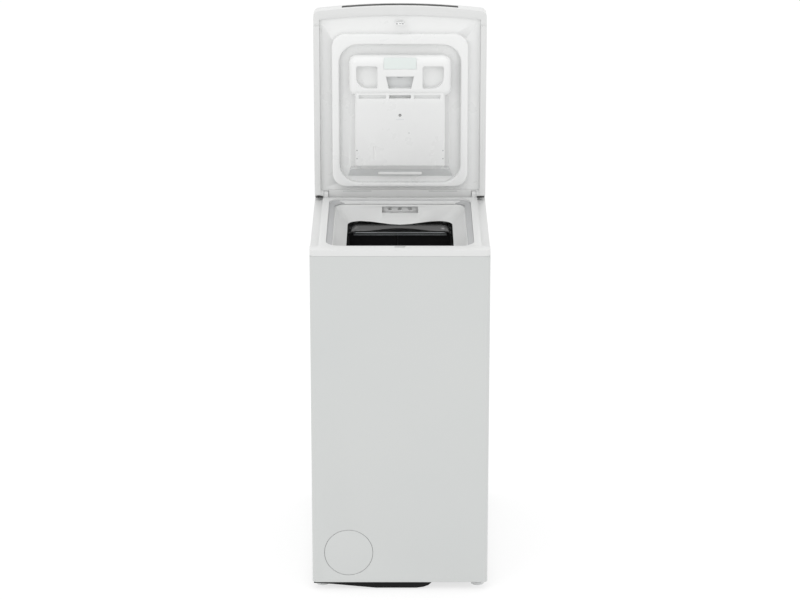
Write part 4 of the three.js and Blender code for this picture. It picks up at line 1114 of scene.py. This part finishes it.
@dataclass
class Base:
    """The castor lever and the feet under the cabinet."""

    shop: Workshop

    def build(self) -> None:
        """Builds the base's visible pieces."""
        self.shop.refine("castor_lever", 0.0012)
        for end in ("front", "rear"):
            for side in ("left", "right"):
                self.shop.refine("foot_%s_%s" % (end, side), 0.0012, look=Tint.PALE_GREY)


@dataclass
class LoadingTop:
    """The top frame, the seal, the funnel, the bellows and the nozzle.

    Attributes:
        shop: The workshop.
        PROFILE: The bellows' levels, in millimetres: how far down, and how far in from the wall.
        HIGHLIGHT_LINES: Grey rods that paint the highlight lines of the bellows' glossy roll, in metres:
            how far down, and their radius.
    """

    PROFILE = (
        (3.0, 0.0), (7.0, 0.2), (11.0, 0.8), (15.0, 1.8), (18.0, 3.0), (20.5, 4.6), (22.0, 6.4),
        (22.8, 8.2), (24.0, 8.0), (24.6, 7.0), (25.6, 7.2), (26.4, 8.6), (27.2, 9.2), (28.4, 9.0),
        (29.6, 7.6), (31.0, 5.0), (34.0, 3.4),
    )
    HIGHLIGHT_LINES = ((0.0262, 0.0011), (0.0312, 0.0006))
    shop: Workshop

    def build(self) -> None:
        """Builds the top's visible pieces."""
        self.shop.refine("top_frame", 0.0025)
        self.shop.refine("lid_seal", 0.0008)
        self.shop.refine("loading_funnel", 0.002, angle=45.0)
        self.shop.refine("water_nozzle", 0.0006, look=Tint.NOZZLE)
        self._rear_seal()
        self._bellows()

    def _rear_seal(self) -> None:
        """Lays the pale facing on the seal's rear run."""
        half = 0.146
        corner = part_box("lid_seal")[1]
        strip = Bench.block(
            "rear_seal_facing",
            (-half, corner.y - 0.0043, corner.z - 0.0092),
            (half, corner.y - 0.0025, corner.z - 0.0019),
        )
        self.shop.place(strip, "cabinet", Tint.WHITE)

    def _bellows(self) -> None:
        """Grows the bellows as one wall with a broad roll and a lip below it, and lays grey rods that paint
        the roll's highlight lines.
        """
        low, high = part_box("tub_bellows")
        inset = 0.0025
        half = high.x - inset
        front = low.y + inset
        back = high.y - inset
        wall = Loft("bellows_rolls", Level(half, front, back, high.z), 0.03)
        tall = high.z - low.z
        for drop, swell in self.PROFILE:
            if drop * MM < tall:
                bulge = swell * MM
                wall.grow(Level(half - 0.2 * bulge, front + bulge, back - bulge, high.z - drop * MM))
        wall.grow(Level(half - 0.001, front + 0.002, back - 0.002, low.z))
        piece = wall.finish()
        Bench.thicken(piece, 0.0012)
        Bench.smooth(piece, 60.0)
        self.shop.place(piece, "tub", Tint.BELLOWS, ["tub_bellows"])
        # Thin grey rods on the front and rear runs paint the roll's highlight lines; they stand for
        # reflections, not for a real clamp.
        highlight_bars = []
        for name, y in (("front", front + 0.0096), ("rear", back - 0.0096)):
            for drop, thick in self.HIGHLIGHT_LINES:
                ends = [(side.value * 0.109, y, high.z - drop) for side in Side]
                highlight_bars.append(Bench.rod(name, thick, *ends, 16))
        self.shop.place(Bench.merge("painted_highlight_rods", highlight_bars), "tub", Tint.CLAMP)


@dataclass
class Lid:
    """The lid's cover, liner, handle, latch with painted shade in its notches, ledge, seams with painted
    shade, and painted shadows under the hinge ears.

    Attributes:
        shop: The workshop.
        grid: The lid's own coordinates.
    """

    shop: Workshop
    grid: LidFrame = field(default_factory=LidFrame)

    def build(self) -> None:
        """Builds the lid's visible pieces."""
        self.shop.refine("lid_cover", 0.0022)
        self.shop.refine("lid_handle", 0.0012)
        self._liner()
        self._latch()
        self._ledge()
        self._seams()
        self._ears()

    def _liner(self) -> None:
        """Copies the liner, cuts the slope behind the ledge and softens its raised band."""
        piece = Bench.copy_of(self.shop.frame["nodes"]["lid_liner"], "lid_liner_finished")
        wedge = self.grid.block("wedge", (-116, 116), (42.0, 66.0), (-32.0, 1.2))
        Bench.slice(wedge, self.grid.at(0, 65.4, -20.6), (0.0, 1.0, 1.0))
        Bench.cut(piece, wedge)
        Bench.round_off(piece, 0.004, 5, self.grid.facing(-12))
        Bench.smooth(piece, 40.0)
        self.shop.place(piece, "lid", Skin.LINER, ["lid_liner"])

    def _latch(self) -> None:
        """Makes the white latch hook with three grey marks that paint the shade in its notches."""
        self.shop.refine("lid_latch", 0.0012, look=Tint.WHITE)
        low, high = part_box("lid_latch")
        marks = []
        for x, wide, tall in ((-7.0, 1.6, 3.0), (0.5, 2.4, 1.6), (6.5, 2.0, 2.6)):
            mark = Bench.block(
                "mark",
                ((x - wide) * MM, low.y - 0.0002, high.z - (tall + 1.0) * MM),
                ((x + wide) * MM, low.y + 0.002, high.z - 0.8 * MM),
            )
            marks.append(mark)
        # The grey blocks paint the notches' shade.
        self.shop.place(Bench.merge("latch_notch_shade", marks), "lid", Tint.SHADOW_GREY)

    def _ledge(self) -> None:
        """Makes the sloped ledge under the dispenser, with its raised rib."""
        ledge = self.grid.block("dispenser_ledge", (-122, 122), (43.4, 65.8), (-31, 1.8))
        Bench.slice(ledge, self.grid.at(0, 65.8, -21.4), (0.0, -1.0, -1.0))
        for side in Side:
            Bench.slice(ledge, self.grid.at(side.value * 122, 43.4, 0), (side.value * 20.8, 0.0, 7.0))
        Bench.soften(ledge, 0.0012)
        self.shop.place(ledge, "lid", Tint.PALE_GREY)
        rib = self.grid.block("ledge_rib", (-51, 51), (50.0, 56.5), (-14.0, 1.0))
        Bench.soften(rib, 0.0012)
        self.shop.place(rib, "lid", Tint.WHITE)

    def _seams(self) -> None:
        """Closes the strip under the liner and lays two grey strips that paint the shade of the rear seam
        gaps.
        """
        strip = self.grid.block("rear_strip", (-160, 160), (2.8, 11.6), (1.9, 4.8))
        for side in Side:
            wing = self.grid.block("wing", side.span(155.0, 184.5), (8.2, 11.6), (1.9, 4.8))
            Bench.cut(strip, wing, join=True)
        Bench.soften(strip, 0.0004, 2)
        self.shop.place(strip, "lid", Skin.LINER)
        # The grey strips paint the shade in the two rear seam gaps.
        for side in Side:
            across = side.span(67.0, 134.0)
            seam = self.grid.block("rear_seam_shade_" + side.name.lower(), across, (6.4, 7.6), (-3.2, -1.0))
            self.shop.place(seam, "lid", Tint.SHADOW_GREY)

    def _ears(self) -> None:
        """Lays a black lower half ring round each hinge ear: the painted shadow under the lid's rounded rim
        end.
        """
        for side in Side:
            inner, outer = side.span(181.0, 197.5)
            start, end = self.grid.at(inner, 0, 0), self.grid.at(outer, 0, 0)
            # Black half ring: painted shadow under the rim end, no real bush.
            shadow_ring = Bench.rod("hinge_painted_shadow_" + side.name.lower(), 0.0096, start, end, 48)
            through = self.grid.at(inner - 10, 0, 0), self.grid.at(outer + 10, 0, 0)
            bore = Bench.rod("bore", 0.0091, *through, 48)
            Bench.cut(shadow_ring, bore)
            Bench.slice(shadow_ring, self.grid.at(0, -3.5, 0), (0.0, 0.0, 1.0))
            self.shop.place(shadow_ring, "lid", Tint.INK_AND_SHADE)


@dataclass
class Dispenser:
    """The detergent drawer in the lid: its body, pockets, window, slots and marks.

    Attributes:
        shop: The workshop.
        grid: The lid's own coordinates.
        face: The depth of the upper block's face.
        plate: The depth of the lower plate's face.
    """

    shop: Workshop
    grid: LidFrame = field(default_factory=LidFrame)
    face: float = -35.0
    plate: float = -32.5

    def build(self) -> None:
        """Builds the drawer."""
        body = self._body()
        Bench.cut(body, *self._pockets(), self._window(), *self._slots(), *self._hollows())
        Bench.tidy(body)
        Bench.round_off(body, 0.0022, 4, self._outer_face)
        Bench.smooth(body, 40.0)
        self.shop.place(body, "dispenser", Skin.LINER, ["dispenser_tray"])
        self._cap()
        self._details()

    def _outer_face(self, place: Vector) -> bool:
        """Holds on either front face."""
        return self.grid.facing(self.face)(place) or self.grid.facing(self.plate)(place)

    def _body(self) -> bpy.types.Object:
        """Joins the lower plate, the upper block and the step between them."""
        grid = self.grid
        lower = grid.block("dispenser_body", (-104, 104), (66, 262), (self.plate, 1.7))
        upper = grid.block("upper", (-118, 118), (240, 337), (self.face, 1.7))
        Bench.round_off(upper, 0.020, 8, lambda p: abs(abs(p.x) - 0.118) < 0.0002)
        step = grid.block("step", (-101, 101), (213, 250), (self.face, -10))
        Bench.slice(step, grid.at(0, 226, self.face), (0.0, -13.0, -2.6))
        Bench.round_off(upper, 0.009, 6, grid.facing(self.face))
        Bench.slice(lower, grid.at(0, 77.0, self.plate), (0.0, -1.0, -1.0))
        Bench.cut(lower, upper, step, join=True)
        return lower

    def _pockets(self) -> list[bpy.types.Object]:
        """Makes the cutters of the two side pockets."""
        tools = []
        for side in Side:
            sign = side.value
            tool = self.grid.block("pocket", side.span(52.0, 101.0), (261, 314), (self.face - 5, -18))
            Bench.round_off(
                tool, 0.026, 8,
                lambda p: abs(p.x - sign * 0.101) < 0.0002 and p.z < self.grid.axis_z + 0.262,
            )
            Bench.round_off(
                tool, 0.005, 4,
                lambda p: p.z > self.grid.axis_z + 0.3139 or abs(p.x - sign * 0.052) < 0.0002,
            )
            tools.append(tool)
        return tools

    def _window(self) -> bpy.types.Object:
        """Makes the cutter of the middle window, narrower at its foot."""
        tool = self.grid.block("window", (-32.6, 32.6), (261, 290), (self.face - 5, -14))
        for side in Side:
            Bench.slice(tool, self.grid.at(side.value * 32.6, 290, 0), (side.value * 29.0, 0.0, -6.5))
        return tool

    def _slots(self) -> list[bpy.types.Object]:
        """Makes the cutters of the three slots under the pockets."""
        spans = (((-95, -33), 7.0), ((-25, 25), 14.0), ((33, 93), 7.0))
        return [
            self.grid.block("slot", span, (237.6, 246.2), (self.face - 5, self.face + depth))
            for span, depth in spans
        ]

    def _hollows(self) -> list[bpy.types.Object]:
        """Makes the cutters of the frosted panel's seat and of the long dimple below it."""
        seat = self.grid.block("panel_seat", (-38, 38), (307, 335), (self.face - 5, self.face + 1.8))
        ends = [self.grid.at(-60, u, self.plate - 1.6) for u in (92, 124)]
        return [seat, Bench.rod("dimple", 0.0032, *ends, 20)]

    def _cap(self) -> None:
        """Makes the softener cap seen through the window, with its small notch."""
        cap = self.grid.block("softener_cap_finished", (-34, 34), (259, 292), (-19, -14.2))
        notch = self.grid.block("notch", (-7, 7), (284, 289), (-21, -17))
        Bench.cut(cap, notch)
        Bench.soften(cap, 0.0008)
        self.shop.place(cap, "dispenser", Tint.PALE_GREY, ["softener_cap"])

    def _details(self) -> None:
        """Adds the frosted panel, grey dots that paint the shade of small holes, the screw and the moulded
        mark.
        """
        grid = self.grid
        depth = (self.face + 0.7, self.face + 1.75)
        panel = grid.block("frosted_panel", (-37.4, 37.4), (307.6, 334.4), depth)
        self.shop.place(panel, "dispenser", Tint.WINDOW)
        # Grey dots paint the shade of the small holes in the plate.
        spots = [(side.value * 100.0, u, 1.5) for side in Side for u in (113.0, 93.5)]
        spots.append((21.0, 155.0, 1.2))
        depth = (self.plate - 0.15, self.plate + 0.5)
        dots = [grid.rod("dot", size, x, u, depth) for x, u, size in spots]
        self.shop.place(Bench.merge("hole_shade_dots", dots), "dispenser", Tint.SHADOW_GREY)
        head = grid.rod("screw", 3.1, 0.0, 197.7, (self.plate - 0.6, self.plate + 0.5))
        socket = grid.rod("socket", 1.5, 0.0, 197.7, (self.plate - 2.0, self.plate + 0.2))
        Bench.cut(head, socket)
        Bench.soften(head, 0.0003, 2)
        self.shop.place(head, "dispenser", Tint.INK_AND_SHADE)
        mark = grid.block("moulded_mark", (-9, 9), (186.4, 188.8), (self.plate - 0.25, self.plate + 0.5))
        self.shop.place(mark, "dispenser", Tint.PALE_INK)


@dataclass
class Console:
    """The control console behind the lid: knob, dial, display and buttons.

    Attributes:
        shop: The workshop.
        slope: The fascia's angle above level, in degrees.
        start: Where the slope begins, front to back and up.
        knob_x: The programme knob's place across.
        middle: The fascia's middle along the slope, in millimetres.
        face: The fascia's surface above the slope, in millimetres.
        ticks: The number of programme ticks.
        tick_start: From the knob's middle to the ticks, in millimetres.
    """

    shop: Workshop
    slope: float = 33.69
    start: tuple[float, float] = (0.190, 0.852)
    knob_x: float = 105.0
    middle: float = 43.3
    face: float = 0.0
    ticks: int = 16
    tick_start: float = 25.0

    def build(self) -> None:
        """Builds the console's visible pieces."""
        self.shop.refine("control_console", 0.004, 4)
        self.shop.refine("console_fascia", 0.0005)
        self.shop.refine("programme_knob", 0.0015)
        self.shop.refine("start_button", 0.0008)
        self._dial()
        self._display()
        self._keys()
        self._pointer()

    def _lean(self, piece: bpy.types.Object) -> bpy.types.Object:
        """Turns a piece drawn flat onto the console's slope."""
        return Bench.settle(piece, (math.radians(self.slope), 0.0, 0.0), (0.0, *self.start))

    def _bar(
        self, name: str, x: tuple[float, float], s: tuple[float, float], n: tuple[float, float]
    ) -> bpy.types.Object:
        """Adds a box drawn flat: X across, S along the slope and N out of it, in millimetres."""
        low, high = (tuple(value * MM for value in corner) for corner in zip(x, s, n))
        return Bench.block(name, low, high)

    def _knob_middle(self) -> Point:
        """Returns the knob's middle on the flat drawing, in metres."""
        return (self.knob_x * MM, self.middle * MM, 0.0)

    def _dial(self) -> None:
        """Prints the programme ticks round the knob."""
        ticks = []
        for i in range(self.ticks):
            angle = math.radians(i * 360.0 / self.ticks)
            along = (self.tick_start, self.tick_start + (4.2 if i % 4 == 0 else 2.6))
            tick = self._bar("tick", (-0.35, 0.35), along, (self.face - 0.2, self.face + 0.12))
            ticks.append(Bench.settle(tick, (0.0, 0.0, angle), self._knob_middle()))
        self.shop.place(self._lean(Bench.merge("programme_ticks", ticks)), "cabinet", Tint.PALE_INK)

    def _display(self) -> None:
        """Adds the display's frame and the bars of its three glowing digits."""
        frame = self._bar("display_frame", (-22, 44), (28, 58), (self.face - 0.4, self.face + 0.5))
        well = self._bar("well", (-20.5, 42.5), (29.5, 56.5), (self.face - 0.1, self.face + 2.0))
        Bench.cut(frame, well)
        Bench.soften(frame, 0.0003, 2)
        self.shop.place(self._lean(frame), "cabinet", Skin.DARK_GLOSS)
        bars = []
        depth = (self.face - 0.15, self.face + 0.05)
        for left in (-13.0, 7.0, 23.0):
            for low in (35.0, 43.0, 51.0):
                bars.append(self._bar("bar", (left, left + 8.0), (low, low + 1.2), depth))
            for x in (left, left + 7.0):
                bars.append(self._bar("bar", (x, x + 1.1), (36.5, 50.5), depth))
        self.shop.place(self._lean(Bench.merge("display_digits", bars)), "cabinet", Tint.GLOW)

    def _keys(self) -> None:
        """Adds the row of flat option keys with a lamp over each."""
        keys = []
        lamps = []
        for i in range(4):
            x = -160.0 + i * 32.0
            key = self._bar("key", (x, x + 22.0), (32.0, 42.0), (self.face - 0.3, self.face + 0.7))
            Bench.soften(key, 0.0005, 2)
            keys.append(key)
            ends = [((x + 11.0) * MM, 0.0485, rise) for rise in (-0.0003, 0.0003)]
            lamps.append(Bench.rod("lamp", 0.0012, *ends, 20))
        self.shop.place(self._lean(Bench.merge("option_keys", keys)), "cabinet", Skin.GREY)
        self.shop.place(self._lean(Bench.merge("option_lamps", lamps)), "cabinet", Tint.GLOW)

    def _pointer(self) -> None:
        """Prints the pointer line on the knob."""
        line = self._bar("knob_pointer", (-0.7, 0.7), (8.0, 19.0), (15.4, 16.0))
        Bench.settle(line, (0.0, 0.0, 0.0), self._knob_middle())
        self.shop.place(self._lean(line), "programme_knob", Tint.INK_AND_SHADE)


def main() -> None:
    """Builds the machine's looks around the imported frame."""
    logging.basicConfig(level=logging.INFO, format="%(name)s: %(message)s")
    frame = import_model()
    shop = Workshop(frame, Paintbox())
    inner = InnerWorks(shop)
    inner.dress()
    Cabinet(shop).build()
    Base(shop).build()
    LoadingTop(shop).build()
    Lid(shop).build()
    Dispenser(shop).build()
    Console(shop).build()
    inner.build()
    Studio().build()


if __name__ == "__main__":
    main()
